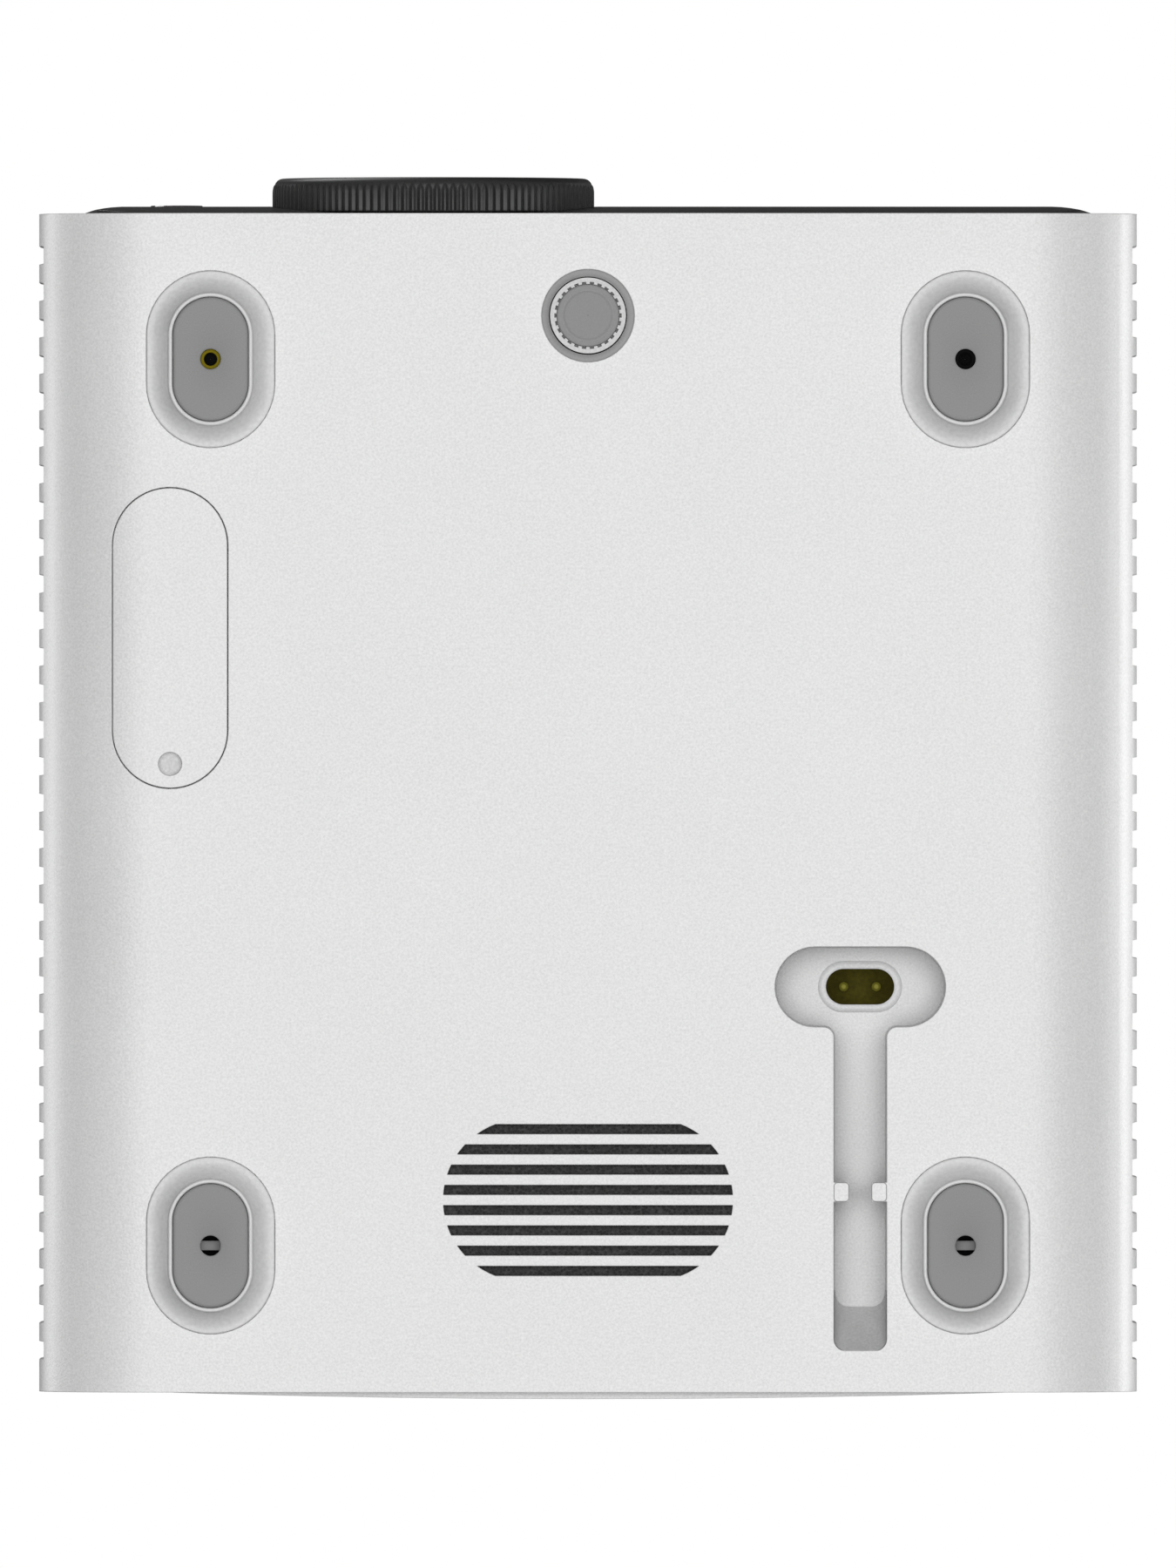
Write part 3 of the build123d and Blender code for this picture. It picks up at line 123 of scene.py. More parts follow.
def add_material(name):
    """A new material with its node tree and its surface shader."""
    material = bpy.data.materials.new(name)
    material.use_nodes = True
    return material, material.node_tree, material.node_tree.nodes["Principled BSDF"]


# The patch of floor under the case isn't mirrored, so it doesn't hide the lamp below
floor_drop = 0.0002
floor_reach = 30.0
patch_x, patch_y = 0.145, 0.1555
outer = [(-floor_reach, -floor_reach, 0), (floor_reach, -floor_reach, 0)]
outer += [(floor_reach, floor_reach, 0), (-floor_reach, floor_reach, 0)]
inner = [(-patch_x, -patch_y, 0), (patch_x, -patch_y, 0), (patch_x, patch_y, 0), (-patch_x, patch_y, 0)]
floors = []
for name, corners, sides in (
    ("floor", outer + inner, [(0, 1, 5, 4), (1, 2, 6, 5), (2, 3, 7, 6), (3, 0, 4, 7)]),
    ("floor_patch", inner, [(0, 1, 2, 3)]),
):
    floor_mesh = bpy.data.meshes.new(name)
    floor_mesh.from_pydata(corners, [], sides)
    floor = add_object(name, floor_mesh)
    floor.location.z = -floor_drop
    floor.visible_diffuse = False
    floors.append(floor)
floors[1].visible_glossy = False
floor_paint, tree, surface = add_material("floor")
surface.inputs["Base Color"].default_value = (0.86, 0.86, 0.86, 1)
surface.inputs["Roughness"].default_value = 0.9
clear = tree.nodes.new("ShaderNodeBsdfTransparent")
mix = tree.nodes.new("ShaderNodeMixShader")
back = tree.nodes.new("ShaderNodeNewGeometry")
path = tree.nodes.new("ShaderNodeLightPath")
either = tree.nodes.new("ShaderNodeMath")
either.operation = "MAXIMUM"
tree.links.new(back.outputs["Backfacing"], either.inputs[0])
tree.links.new(path.outputs["Is Shadow Ray"], either.inputs[1])
tree.links.new(either.outputs[0], mix.inputs[0])
tree.links.new(surface.outputs[0], mix.inputs[1])
tree.links.new(clear.outputs[0], mix.inputs[2])
tree.links.new(mix.outputs[0], tree.nodes["Material Output"].inputs["Surface"])
for floor in floors:
    floor.data.materials.append(floor_paint)


# ------------------------------------------------------------------ moulded shells
# The two halves of the sleeve, the rear panel, the filter hatch and the tilting foot's knob are
# moulded in one pale grey plastic with a fine spark-eroded grain, and polish a little at their edges.
# In the pale plastic the edges and narrow recesses are painted darker, as painted shade.
def effect(name, inputs, outputs):
    """An empty shader group: inputs are (name, kind, value), outputs are (name, kind)."""
    group = bpy.data.node_groups.new(name, "ShaderNodeTree")
    for label, kind, value in inputs:
        group.interface.new_socket(label, in_out="INPUT", socket_type=kind).default_value = value
    for label, kind in outputs:
        group.interface.new_socket(label, in_out="OUTPUT", socket_type=kind)
    return group, group.nodes.new("NodeGroupInput"), group.nodes.new("NodeGroupOutput")


def feed(tree, socket, value):
    """Links a socket to the value if that is one, or sets it to the plain number or colour."""
    if isinstance(value, bpy.types.NodeSocket):
        tree.links.new(value, socket)
    else:
        socket.default_value = value


def maths(tree, operation, *values, clamp=False):
    """The result of a maths node on sockets or plain numbers."""
    node = tree.nodes.new("ShaderNodeMath")
    node.operation = operation
    node.use_clamp = clamp
    for socket, value in zip(node.inputs, values):
        feed(tree, socket, value)
    return node.outputs[0]


def blend_colour(tree, share, first, second):
    """A mix of two colours, each a socket or a plain colour."""
    node = tree.nodes.new("ShaderNodeMix")
    node.data_type = "RGBA"
    node.clamp_factor = True
    for socket, value in zip((node.inputs["Factor"], *node.inputs[6:8]), (share, first, second)):
        feed(tree, socket, value)
    return node.outputs[2]


def object_places(tree):
    """The object's own coordinates."""
    return tree.nodes.new("ShaderNodeTexCoord").outputs["Object"]


def noise(tree, scale, detail=2.0, coordinates=None):
    """Grey noise over the object's own coordinates; scale is in cycles per metre."""
    node = tree.nodes.new("ShaderNodeTexNoise")
    node.inputs["Detail"].default_value = detail
    feed(tree, node.inputs["Scale"], scale)
    feed(tree, node.inputs["Vector"], coordinates or object_places(tree))
    return node.outputs[0]


def scaled(tree, colour, share):
    """A colour made darker or lighter by a share."""
    node = tree.nodes.new("ShaderNodeVectorMath")
    node.operation = "SCALE"
    feed(tree, node.inputs[0], colour)
    feed(tree, node.inputs["Scale"], share)
    return node.outputs[0]


def rounded(tree, radius, samples):
    """The normal of a surface whose sharp edges look rounded."""
    node = tree.nodes.new("ShaderNodeBevel")
    node.samples = samples
    feed(tree, node.inputs["Radius"], radius)
    return node.outputs[0]


def relief(tree, depth, height, normal=None):
    """The normal of a surface with a fine relief on it."""
    node = tree.nodes.new("ShaderNodeBump")
    feed(tree, node.inputs["Distance"], depth)
    feed(tree, node.inputs["Height"], height)
    if normal:
        feed(tree, node.inputs["Normal"], normal)
    return node.outputs[0]


COLOUR, NUMBER, VECTOR = "NodeSocketColor", "NodeSocketFloat", "NodeSocketVector"
SURFACE_OUTPUTS = [("Base Color", COLOUR), ("Roughness", NUMBER), ("Normal", VECTOR)]
moulded, enter, leave = effect(
    "moulded skin",
    [
        ("Colour", COLOUR, (0.8, 0.8, 0.8, 1)),
        ("Edge Colour", COLOUR, (0.9, 0.9, 0.9, 1)),
        ("Roughness", NUMBER, 0.5),
        ("Grain Scale", NUMBER, 1400.0),
        ("Grain Depth", NUMBER, 0.00004),
        ("Edge Size", NUMBER, 0.0004),
        ("Mottle", NUMBER, 0.05),
        ("Recess Shade", NUMBER, 0.0),
        ("Recess Reach", NUMBER, 0.014),
    ],
    SURFACE_OUTPUTS,
)
# Sharp edges are where the rounded normal leaves the true one. There the colour turns to Edge Colour:
# a darker one is painted shade along the small rounded edges, a lighter one marks rubbed wear.
edge = rounded(moulded, enter.outputs["Edge Size"], 6)
facing = moulded.nodes.new("ShaderNodeVectorMath")
facing.operation = "DOT_PRODUCT"
moulded.links.new(edge, facing.inputs[0])
moulded.links.new(moulded.nodes.new("ShaderNodeNewGeometry").outputs["Normal"], facing.inputs[1])
edge_wear_and_painted_light = maths(moulded, "SUBTRACT", 1.0, facing.outputs["Value"], clamp=True)
edge_wear_and_painted_light = maths(moulded, "MULTIPLY", edge_wear_and_painted_light, maths(moulded, "MULTIPLY", noise(moulded, 90.0), 5.0), clamp=True)
# Wide clouds and fine specks vary the tone
cloud = maths(moulded, "MULTIPLY", maths(moulded, "SUBTRACT", noise(moulded, 22.0, 4.0), 0.5), 0.4)
fine = noise(moulded, enter.outputs["Grain Scale"], 1.0)
speck = maths(moulded, "SUBTRACT", fine, 0.5)
tone = maths(moulded, "ADD", cloud, maths(moulded, "MULTIPLY", speck, 1.6))
tone = maths(moulded, "ADD", 1.0, maths(moulded, "MULTIPLY", tone, enter.outputs["Mottle"]))
# Narrow recesses are painted darker, as painted shade where less light reaches them
openness = moulded.nodes.new("ShaderNodeAmbientOcclusion")
openness.samples = 6
openness.only_local = True
moulded.links.new(enter.outputs["Recess Reach"], openness.inputs["Distance"])
closed = maths(moulded, "SUBTRACT", 1.0, openness.outputs["AO"])
painted_recess_shade = maths(moulded, "MULTIPLY", closed, enter.outputs["Recess Shade"])
tone = maths(moulded, "MULTIPLY", tone, maths(moulded, "SUBTRACT", 1.0, painted_recess_shade))
toned = scaled(moulded, enter.outputs["Colour"], tone)
coloured = blend_colour(moulded, edge_wear_and_painted_light, toned, enter.outputs["Edge Colour"])
moulded.links.new(coloured, leave.inputs["Base Color"])
rough = maths(moulded, "ADD", enter.outputs["Roughness"], maths(moulded, "MULTIPLY", cloud, 0.18))
rough = maths(moulded, "SUBTRACT", rough, maths(moulded, "MULTIPLY", edge_wear_and_painted_light, 0.15), clamp=True)
moulded.links.new(rough, leave.inputs["Roughness"])
moulded.links.new(relief(moulded, enter.outputs["Grain Depth"], fine, edge), leave.inputs["Normal"])


def finish(name, group, values, **surface_values):
    """A material whose surface takes its colour, roughness and normal from an effect group."""
    material, tree, surface = add_material(name)
    for label, value in surface_values.items():
        surface.inputs[label.replace("_", " ")].default_value = value
    skin = tree.nodes.new("ShaderNodeGroup")
    skin.node_tree = group
    for label, value in values.items():
        skin.inputs[label].default_value = value
    for label in skin.outputs.keys():
        tree.links.new(skin.outputs[label], surface.inputs[label])
    return material


def dress(material, *names):
    """Gives CAD nodes this finish in place of their plain colour."""
    for name in names:
        for slot in nodes[name].material_slots:
            slot.material = material


def grey(level):
    """A neutral grey of this level."""
    return (level, level, level, 1)


# Its dark Edge Colour is painted shade along the rounded edges, and Recess Shade paints shade in narrow
# recesses
pale_plastic = finish(
    "pale moulded plastic",
    moulded,
    {
        "Colour": grey(0.77),
        "Edge Colour": grey(0.36),
        "Roughness": 0.4,
        "Grain Scale": 1700.0,
        "Grain Depth": 0.00008,
        "Edge Size": 0.0004,
        "Mottle": 0.22,
        "Recess Shade": 0.52,
        "Recess Reach": 0.022,
    },
)
dress(pale_plastic, "bottom_shell", "top_cover", "rear_panel", "filter_hatch", "tilt_column")
# A darker copy of the pale plastic, with darker edges: painted shade on the knob and in the hatch's dimple
shaded_knob_plastic = finish(
    "knob plastic with painted shade",
    moulded,
    {
        "Colour": grey(0.6),
        "Edge Colour": grey(0.48),
        "Roughness": 0.45,
        "Grain Scale": 1300.0,
        "Grain Depth": 0.00006,
        "Edge Size": 0.0002,
        "Mottle": 0.3,
    },
)
dress(shaded_knob_plastic, "tilt_knob")


# ------------------------------------------------------------------ front panel
# The bowed front panel and the disc door are smooth black mouldings, polished in the tool.
# A smoked window for the remote control's eye stands a little proud of the panel.
black_panel = finish(
    "gloss black plastic",
    moulded,
    {
        "Colour": grey(0.016),
        "Edge Colour": grey(0.07),
        "Roughness": 0.3,
        "Grain Scale": 500.0,
        "Grain Depth": 0.000004,
        "Edge Size": 0.0006,
        "Mottle": 0.25,
    },
    Specular_IOR_Level=0.3,
)
dress(black_panel, "front_bezel", "tray_door")
smoked_window = finish(
    "smoked window",
    moulded,
    {
        "Colour": (0.03, 0.008, 0.012, 1),
        "Edge Colour": grey(0.2),
        "Roughness": 0.07,
        "Grain Scale": 200.0,
        "Grain Depth": 0.000002,
        "Edge Size": 0.0003,
        "Mottle": 0.1,
    },
    Coat_Weight=1.0,
    Coat_Roughness=0.03,
)
dress(smoked_window, "remote_window")


# ------------------------------------------------------------------ focus ring
# The ring that focuses the picture is moulded in satin black plastic. Its ridges end in points
# on a smooth rounded front edge, and a finer line runs down each side of a ridge.
def skin_piece(name, rings, closed=True):
    """A smooth skin over rings of points, each ring with as many points as the next."""
    mesh = bpy.data.meshes.new(name)
    shape = bmesh.new()
    loops = [[shape.verts.new(place) for place in ring] for ring in rings]
    count = len(loops[0])
    for first, second in zip(loops, loops[1:]):
        for step in range(count if closed else count - 1):
            after = (step + 1) % count
            shape.faces.new((first[step], second[step], second[after], first[after]))
    bmesh.ops.remove_doubles(shape, verts=shape.verts, dist=0.000001)
    bmesh.ops.recalc_face_normals(shape, faces=shape.faces)
    for face in shape.faces:
        face.smooth = True
    shape.to_mesh(mesh)
    shape.free()
    return add_object(name, mesh)


ring_low, ring_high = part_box("focus_ring")
lens_centre = ((ring_low.x + ring_high.x) / 2, (ring_low.z + ring_high.z) / 2)
ring_radius = (ring_high.x - ring_low.x) / 2
ring_front = ring_low.y
ring_length = 0.0091
ring_back = ring_front + ring_length
ring_hub_radius = 0.032
ring_hub_bore = 0.0291
ring_face_width = 0.0052
ring_mouth = ring_radius - ring_face_width
ring_mouth_draft = 0.004
ring_mouth_round = 0.0004
ring_ridges = 124
ridge_samples = 12
ridge_height = 0.00055
ridge_point_start = 0.0016
ridge_point_end = 0.0034
line_place, line_width, line_depth = 0.55, 0.12, 0.22
nose_round = 0.0023
nose_rows = 10
side_rows = 14
funnel_depth = 0.0066


def ridge_swell(turn, y):
    """Height of the ridges over their roots at a turn and a place along the ring."""
    phase = turn * ring_ridges / (2 * math.pi) % 1.0
    across = abs(phase - 0.5) * 2
    grown = (y - ring_front - ridge_point_start) / (ridge_point_end - ridge_point_start)
    width = max(0.0, min(1.0, grown))
    if across >= width:
        return 0.0
    crest = math.cos(across / width * math.pi / 2) * math.sqrt(width)
    groove = line_depth * math.exp(-(((across - line_place) / line_width) ** 2)) if width > 0.9 else 0.0
    return ridge_height * (crest - groove)


def ring_reach(row, turn):
    """Radius and place of a point on the ring's skin, row by row from the mouth round to the hub."""
    kind, along = row
    root = ring_radius - ridge_height
    if kind == "nose":
        angle = along * math.pi / 2
        radius = root - nose_round * (1 - math.sin(angle))
        y = ring_front + nose_round * (1 - math.cos(angle))
        return radius + ridge_swell(turn, y), y
    if kind == "side":
        y = ring_front + nose_round + along * (ring_length - nose_round)
        return root + ridge_swell(turn, y), y
    return along


funnel_back = ring_front + funnel_depth
ring_rows = [("plain", (ring_hub_bore, ring_high.y)), ("plain", (ring_hub_bore, funnel_back))]
ring_rows += [("plain", (ring_mouth - ring_mouth_draft, funnel_back))]
ring_rows += [("plain", (ring_mouth - ring_mouth_round / 2, ring_front + ring_mouth_round))]
ring_rows += [("plain", (ring_mouth + ring_mouth_round, ring_front))]
ring_rows += [("nose", i / nose_rows) for i in range(nose_rows + 1)]
ring_rows += [("side", i / side_rows) for i in range(1, side_rows + 1)]
ring_rows += [("plain", (ring_hub_radius, ring_back)), ("plain", (ring_hub_radius, ring_high.y))]
ring_rows += [("plain", (ring_hub_bore, ring_high.y))]
ring_steps = ring_ridges * ridge_samples
ring_turns = [2 * math.pi * step / ring_steps for step in range(ring_steps)]
ring_points = []
for row in ring_rows:
    reaches = [ring_reach(row, turn) for turn in ring_turns]
    ring_points.append(
        [
            (lens_centre[0] + radius * math.cos(turn), y, lens_centre[1] + radius * math.sin(turn))
            for (radius, y), turn in zip(reaches, ring_turns)
        ]
    )
focus_ring = skin_piece("focus_ring_skin", ring_points)
# The lighter Edge Colour paints highlights along the ridges' edges
ring_plastic = finish(
    "satin black plastic",
    moulded,
    {
        "Colour": grey(0.016),
        "Edge Colour": grey(0.09),
        "Roughness": 0.4,
        "Grain Scale": 1800.0,
        "Grain Depth": 0.00001,
        "Edge Size": 0.0001,
        "Mottle": 0.2,
    },
    Specular_IOR_Level=0.35,
)
focus_ring.data.materials.append(ring_plastic)
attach(focus_ring, "focus_ring")
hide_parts("focus_ring")


# ------------------------------------------------------------------ lens
# A mount fixed to the case carries a barrel that slides in it with a coated lens at each end.
# Mount and barrel are matt black mouldings. Behind them sits the cast light engine with its lamp.
dark_plastic = finish(
    "dark moulded plastic",
    moulded,
    {
        "Colour": grey(0.045),
        "Edge Colour": grey(0.14),
        "Roughness": 0.5,
        "Grain Scale": 1200.0,
        "Grain Depth": 0.00003,
        "Edge Size": 0.0004,
        "Mottle": 0.15,
    },
)
dress(dark_plastic, "lens_mount", "lens_barrel")

lens_glass, tree, surface = add_material("coated lens glass")
surface.inputs["Transmission Weight"].default_value = 1.0
surface.inputs["IOR"].default_value = 1.52
surface.inputs["Coat Weight"].default_value = 0.6
surface.inputs["Coat Roughness"].default_value = 0.02
sheen = tree.nodes.new("ShaderNodeLayerWeight")
sheen.inputs["Blend"].default_value = 0.35
tint = blend_colour(tree, sheen.outputs["Facing"], (0.86, 0.93, 0.97, 1), (0.50, 0.42, 0.72, 1))
tree.links.new(tint, surface.inputs["Base Color"])
smear = maths(tree, "MULTIPLY", noise(tree, 160.0, 5.0), 0.05)
tree.links.new(smear, surface.inputs["Roughness"])
dress(lens_glass, "front_lens", "rear_lens")

cast, enter, leave = effect(
    "cast metal",
    [
        ("Colour", COLOUR, (0.6, 0.6, 0.6, 1)),
        ("Roughness", NUMBER, 0.45),
        ("Pit Scale", NUMBER, 700.0),
        ("Pit Depth", NUMBER, 0.00008),
    ],
    SURFACE_OUTPUTS,
)
pits = noise(cast, enter.outputs["Pit Scale"], 3.0)
stain = noise(cast, 35.0, 4.0)
tone = maths(cast, "ADD", 0.8, maths(cast, "MULTIPLY", stain, 0.35))
rough = maths(cast, "ADD", enter.outputs["Roughness"], maths(cast, "MULTIPLY", pits, 0.2))
edge = rounded(cast, 0.0005, 4)
cast.links.new(scaled(cast, enter.outputs["Colour"], tone), leave.inputs["Base Color"])
cast.links.new(rough, leave.inputs["Roughness"])
cast.links.new(relief(cast, enter.outputs["Pit Depth"], pits, edge), leave.inputs["Normal"])
cast_metal = finish("cast metal", cast, {"Colour": grey(0.56)}, Metallic=1.0)
dress(cast_metal, "light_engine", "lamp_module")


# ------------------------------------------------------------------ feet
# Four round-ended feet are let into the base, each with a moulded rubber pad and a fixing hole.
# A threaded brass bush is pressed into one front foot and a blackened steel one into the other.
# Each foot is one moulding in two copies: a darker one paints shade on the steep skirt, and a lighter one
# paints light on the flat rim
foot_skirt_shade = finish(
    "foot plastic with painted shade on the skirt",
    moulded,
    {
        "Colour": grey(0.64),
        "Edge Colour": grey(0.5),
        "Roughness": 0.42,
        "Grain Scale": 1000.0,
        "Grain Depth": 0.00006,
        "Edge Size": 0.0003,
        "Mottle": 0.16,
    },
)
rubber = finish(
    "grey rubber",
    moulded,
    {
        "Colour": grey(0.295),
        "Edge Colour": grey(0.36),
        "Roughness": 0.82,
        "Grain Scale": 2600.0,
        "Grain Depth": 0.00004,
        "Edge Size": 0.0007,
        "Mottle": 0.12,
    },
)
foot_rim_light = finish(
    "foot plastic with painted light on the rim",
    moulded,
    {
        "Colour": grey(0.68),
        "Edge Colour": grey(0.6),
        "Roughness": 0.4,
        "Grain Scale": 1000.0,
        "Grain Depth": 0.00002,
        "Edge Size": 0.0001,
        "Mottle": 0.05,
    },
)
hole_shade = finish(
    "shaded hole",
    moulded,
    {
        "Colour": grey(0.012),
        "Edge Colour": grey(0.02),
        "Roughness": 0.8,
        "Grain Scale": 900.0,
        "Grain Depth": 0.00001,
        "Edge Size": 0.0002,
        "Mottle": 0.3,
    },
    Specular_IOR_Level=0.1,
)


def round_ended(centre, reach, half_straight, z, steps=96):
    """One ring of points: an outline with straight sides along Y and round ends."""
    ring = []
    for step in range(steps):
        turn = 2 * math.pi * (step + 0.5) / steps
        shift = half_straight if math.sin(turn) > 0 else -half_straight
        ring.append((centre.x + reach * math.cos(turn), centre.y + reach * math.sin(turn) + shift, z))
    return ring


foot_names = ["front_left", "front_right", "rear_left", "rear_right"]
foot_hole = 0.0027
hole_top_z = 0.011
base_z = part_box("bottom_shell")[0].z
rim_z = 0.0011
rim_half = 0.0111
rim_round = 0.0002
pocket_z = 0.0035
pocket_gap = 0.00015
skirt_rows = 14
skirt_curve = 2.6
pad_edge = 0.0009
pad_edge_rows = 8
bar_half_size = (foot_hole, 0.00125, 0.002)
bar_z = 0.009
for name in foot_names:
    foot_low, foot_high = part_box(f"foot_{name}")
    pad_low, pad_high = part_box(f"foot_pad_{name}")
    centre = (foot_low + foot_high) / 2
    foot_half = (foot_high.x - foot_low.x) / 2
    straight = (foot_high.y - foot_low.y) / 2 - foot_half
    pad_half = (pad_high.x - pad_low.x) / 2
    # Rows of reach, height and whether the row is stretched along the foot's straight sides
    rows = [(0.0001, hole_top_z, 0), (foot_hole, hole_top_z, 0), (foot_hole, pocket_z, 0)]
    rows += [(pad_half + pocket_gap, pocket_z, 1), (pad_half + pocket_gap, rim_z + 0.0004, 1)]
    rows += [(pad_half + 2 * pocket_gap, rim_z + 0.00015, 1), (pad_half + 0.0005, rim_z, 1)]
    rows += [(rim_half - 0.0003, rim_z, 1), (rim_half, rim_z + rim_round, 1)]
    # The skirt drops steeply from the rim and flattens out as it meets the base
    skirt_run = foot_half - rim_half
    skirt_rise = base_z - rim_z - 0.0007
    for i in range(skirt_rows + 1):
        share = i / skirt_rows
        rows.append((rim_half + skirt_run * share, base_z - skirt_rise * (1 - share) ** skirt_curve, 1))
    rows += [(foot_half, base_z + 0.0002, 1), (foot_half, foot_high.z, 1)]
    rings = [round_ended(centre, reach, straight * wide, z) for reach, z, wide in rows]
    foot_skin = skin_piece(f"foot_{name}_skin", rings)
    # Painted shade on the skirt and in the fixing hole, painted light on the flat rim
    for material in (foot_skirt_shade, hole_shade, foot_rim_light):
        foot_skin.data.materials.append(material)
    for face in foot_skin.data.polygons:
        if (face.center - centre).xy.length < foot_hole and face.center.z > pocket_z:
            face.material_index = 1
        elif face.center.z < rim_z + 0.0003:
            face.material_index = 2
    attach(foot_skin, "case")
    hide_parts(f"foot_{name}")
    pad_rows = [(foot_hole, pocket_z, 0), (foot_hole, 0.0002, 0), (foot_hole + 0.0002, 0.0, 0)]
    pad_rows += [
        (pad_half - pad_edge * (1 - math.sin(turn)), pad_edge * (1 - math.cos(turn)), 1)
        for turn in [i / pad_edge_rows * math.pi / 2 for i in range(pad_edge_rows + 1)]
    ]
    pad_rows += [(pad_half, pad_high.z, 1)]
    pad_rings = [round_ended(centre, reach, straight * wide, z) for reach, z, wide in pad_rows]
    pad_skin = skin_piece(f"foot_pad_{name}_skin", pad_rings)
    pad_skin.data.materials.append(rubber)
    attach(pad_skin, "case")
    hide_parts(f"foot_pad_{name}")
    if centre.y > 0:
        bar_centre = Vector((centre.x, centre.y, bar_z))
        bar_mesh = bpy.data.meshes.new(f"foot_bar_{name}")
        shape = bmesh.new()
        bmesh.ops.create_cube(shape, size=2.0)
        for corner in shape.verts:
            corner.co = bar_centre + Vector([reach * way for reach, way in zip(bar_half_size, corner.co)])
        shape.to_mesh(bar_mesh)
        shape.free()
        foot_bar = add_object(f"foot_bar_{name}", bar_mesh)
        bar_mesh.materials.append(rubber)
        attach(foot_bar, "case")


# Drawn and turned metal has fine lines along one way and a faint film over them
turned, enter, leave = effect(
    "drawn metal",
    [
        ("Colour", COLOUR, (0.6, 0.6, 0.6, 1)),
        ("Roughness", NUMBER, 0.3),
        ("Line Scale", NUMBER, 900.0),
        ("Line Depth", NUMBER, 0.00003),
        ("Stretch", VECTOR, (1.0, 0.04, 1.0)),
    ],
    SURFACE_OUTPUTS,
)
drawn_places = turned.nodes.new("ShaderNodeVectorMath")
drawn_places.operation = "MULTIPLY"
turned.links.new(object_places(turned), drawn_places.inputs[0])
turned.links.new(enter.outputs["Stretch"], drawn_places.inputs[1])
lines = noise(turned, enter.outputs["Line Scale"], 3.0, drawn_places.outputs[0])
film = noise(turned, 60.0, 4.0)
tone = maths(turned, "ADD", maths(turned, "MULTIPLY", lines, 0.3), maths(turned, "MULTIPLY", film, 0.2))
tone = maths(turned, "ADD", 0.75, tone)
rough = maths(turned, "ADD", enter.outputs["Roughness"], maths(turned, "MULTIPLY", film, 0.15))
edge = rounded(turned, 0.0003, 4)
turned.links.new(scaled(turned, enter.outputs["Colour"], tone), leave.inputs["Base Color"])
turned.links.new(rough, leave.inputs["Roughness"])
turned.links.new(relief(turned, enter.outputs["Line Depth"], lines, edge), leave.inputs["Normal"])
brass_tone = (0.12, 0.095, 0.006, 1)
brass = finish("tarnished brass", turned, {"Colour": brass_tone, "Roughness": 0.45}, Metallic=1.0)
black_steel = finish("blackened steel", turned, {"Colour": grey(0.008), "Roughness": 0.6}, Metallic=1.0)
steel = finish("plated steel", turned, {"Colour": grey(0.62), "Roughness": 0.25}, Metallic=1.0)
dress(brass, "insert_front_left")
dress(black_steel, "insert_front_right")


# ------------------------------------------------------------------ tilting foot
# A knob with small notches turns on a collar sunk in the base and screws its column out.
# The collar's dark grey is painted shade for the deep recess round the knob.
# The collar's face keeps the fine lines of its turned mould, and the knob is tipped with rubber.
turned_lines, enter, leave = effect(
    "turned lines",
    [
        ("Colour", COLOUR, (0.2, 0.2, 0.2, 1)),
        ("Roughness", NUMBER, 0.4),
        ("Centre", VECTOR, (0.0, 0.0, 0.0)),
        ("Lines", NUMBER, 60.0),
        ("Depth", NUMBER, 0.00001),
    ],
    SURFACE_OUTPUTS,
)
offset = turned_lines.nodes.new("ShaderNodeVectorMath")
offset.operation = "SUBTRACT"
turned_lines.links.new(object_places(turned_lines), offset.inputs[0])
turned_lines.links.new(enter.outputs["Centre"], offset.inputs[1])
parts = turned_lines.nodes.new("ShaderNodeSeparateXYZ")
turned_lines.links.new(offset.outputs[0], parts.inputs[0])
turn = maths(turned_lines, "ARCTAN2", parts.outputs["Y"], parts.outputs["X"])
wave = maths(turned_lines, "SINE", maths(turned_lines, "MULTIPLY", turn, enter.outputs["Lines"]))
wave = maths(turned_lines, "MULTIPLY", wave, noise(turned_lines, 300.0, 2.0))
ripple = maths(turned_lines, "MULTIPLY", wave, 0.1)
tone = maths(turned_lines, "ADD", 1.0, ripple)
rough = maths(turned_lines, "ADD", enter.outputs["Roughness"], ripple)
turned_lines.links.new(scaled(turned_lines, enter.outputs["Colour"], tone), leave.inputs["Base Color"])
turned_lines.links.new(rough, leave.inputs["Roughness"])
turned_lines.links.new(relief(turned_lines, enter.outputs["Depth"], wave), leave.inputs["Normal"])
collar_low, collar_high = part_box("tilt_collar")
tilt_centre = (collar_low + collar_high) / 2
# Dark grey as painted shade in the recess; the fine turned lines are the collar's own
collar_shade_plastic = finish(
    "collar plastic with painted shade",
    turned_lines,
    {"Colour": grey(0.27), "Roughness": 0.42, "Centre": tilt_centre, "Lines": 64.0},
)
dress(collar_shade_plastic, "tilt_collar")


def round_ring(centre_x, centre_y, reach, z, steps=96):
    """One ring of points on an upright circle's outline, at height z."""
    turns = [2 * math.pi * step / steps for step in range(steps)]
    return [(centre_x + reach * math.cos(turn), centre_y + reach * math.sin(turn), z) for turn in turns]


# The rubber tip's face from its middle outwards, with a groove, then down its side: reach, height
tilt_pad_profile = [(0.0001, 0.00106), (0.0050, 0.00104), (0.0058, 0.00100), (0.0061, 0.00104)]
tilt_pad_profile += [(0.0064, 0.00125), (0.0066, 0.0015), (0.0068, 0.0014), (0.0070, 0.0013)]
tilt_pad_profile += [(0.0078, 0.0013), (0.0081, 0.0014), (0.0082, 0.0017), (0.0082, 0.0045)]
tilt_pad_rings = [round_ring(tilt_centre.x, tilt_centre.y, reach, z) for reach, z in tilt_pad_profile]
tilt_pad_skin = skin_piece("tilt_pad_skin", tilt_pad_rings)
tilt_pad_skin.data.materials.append(rubber)
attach(tilt_pad_skin, "tilt_knob")
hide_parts("tilt_pad")


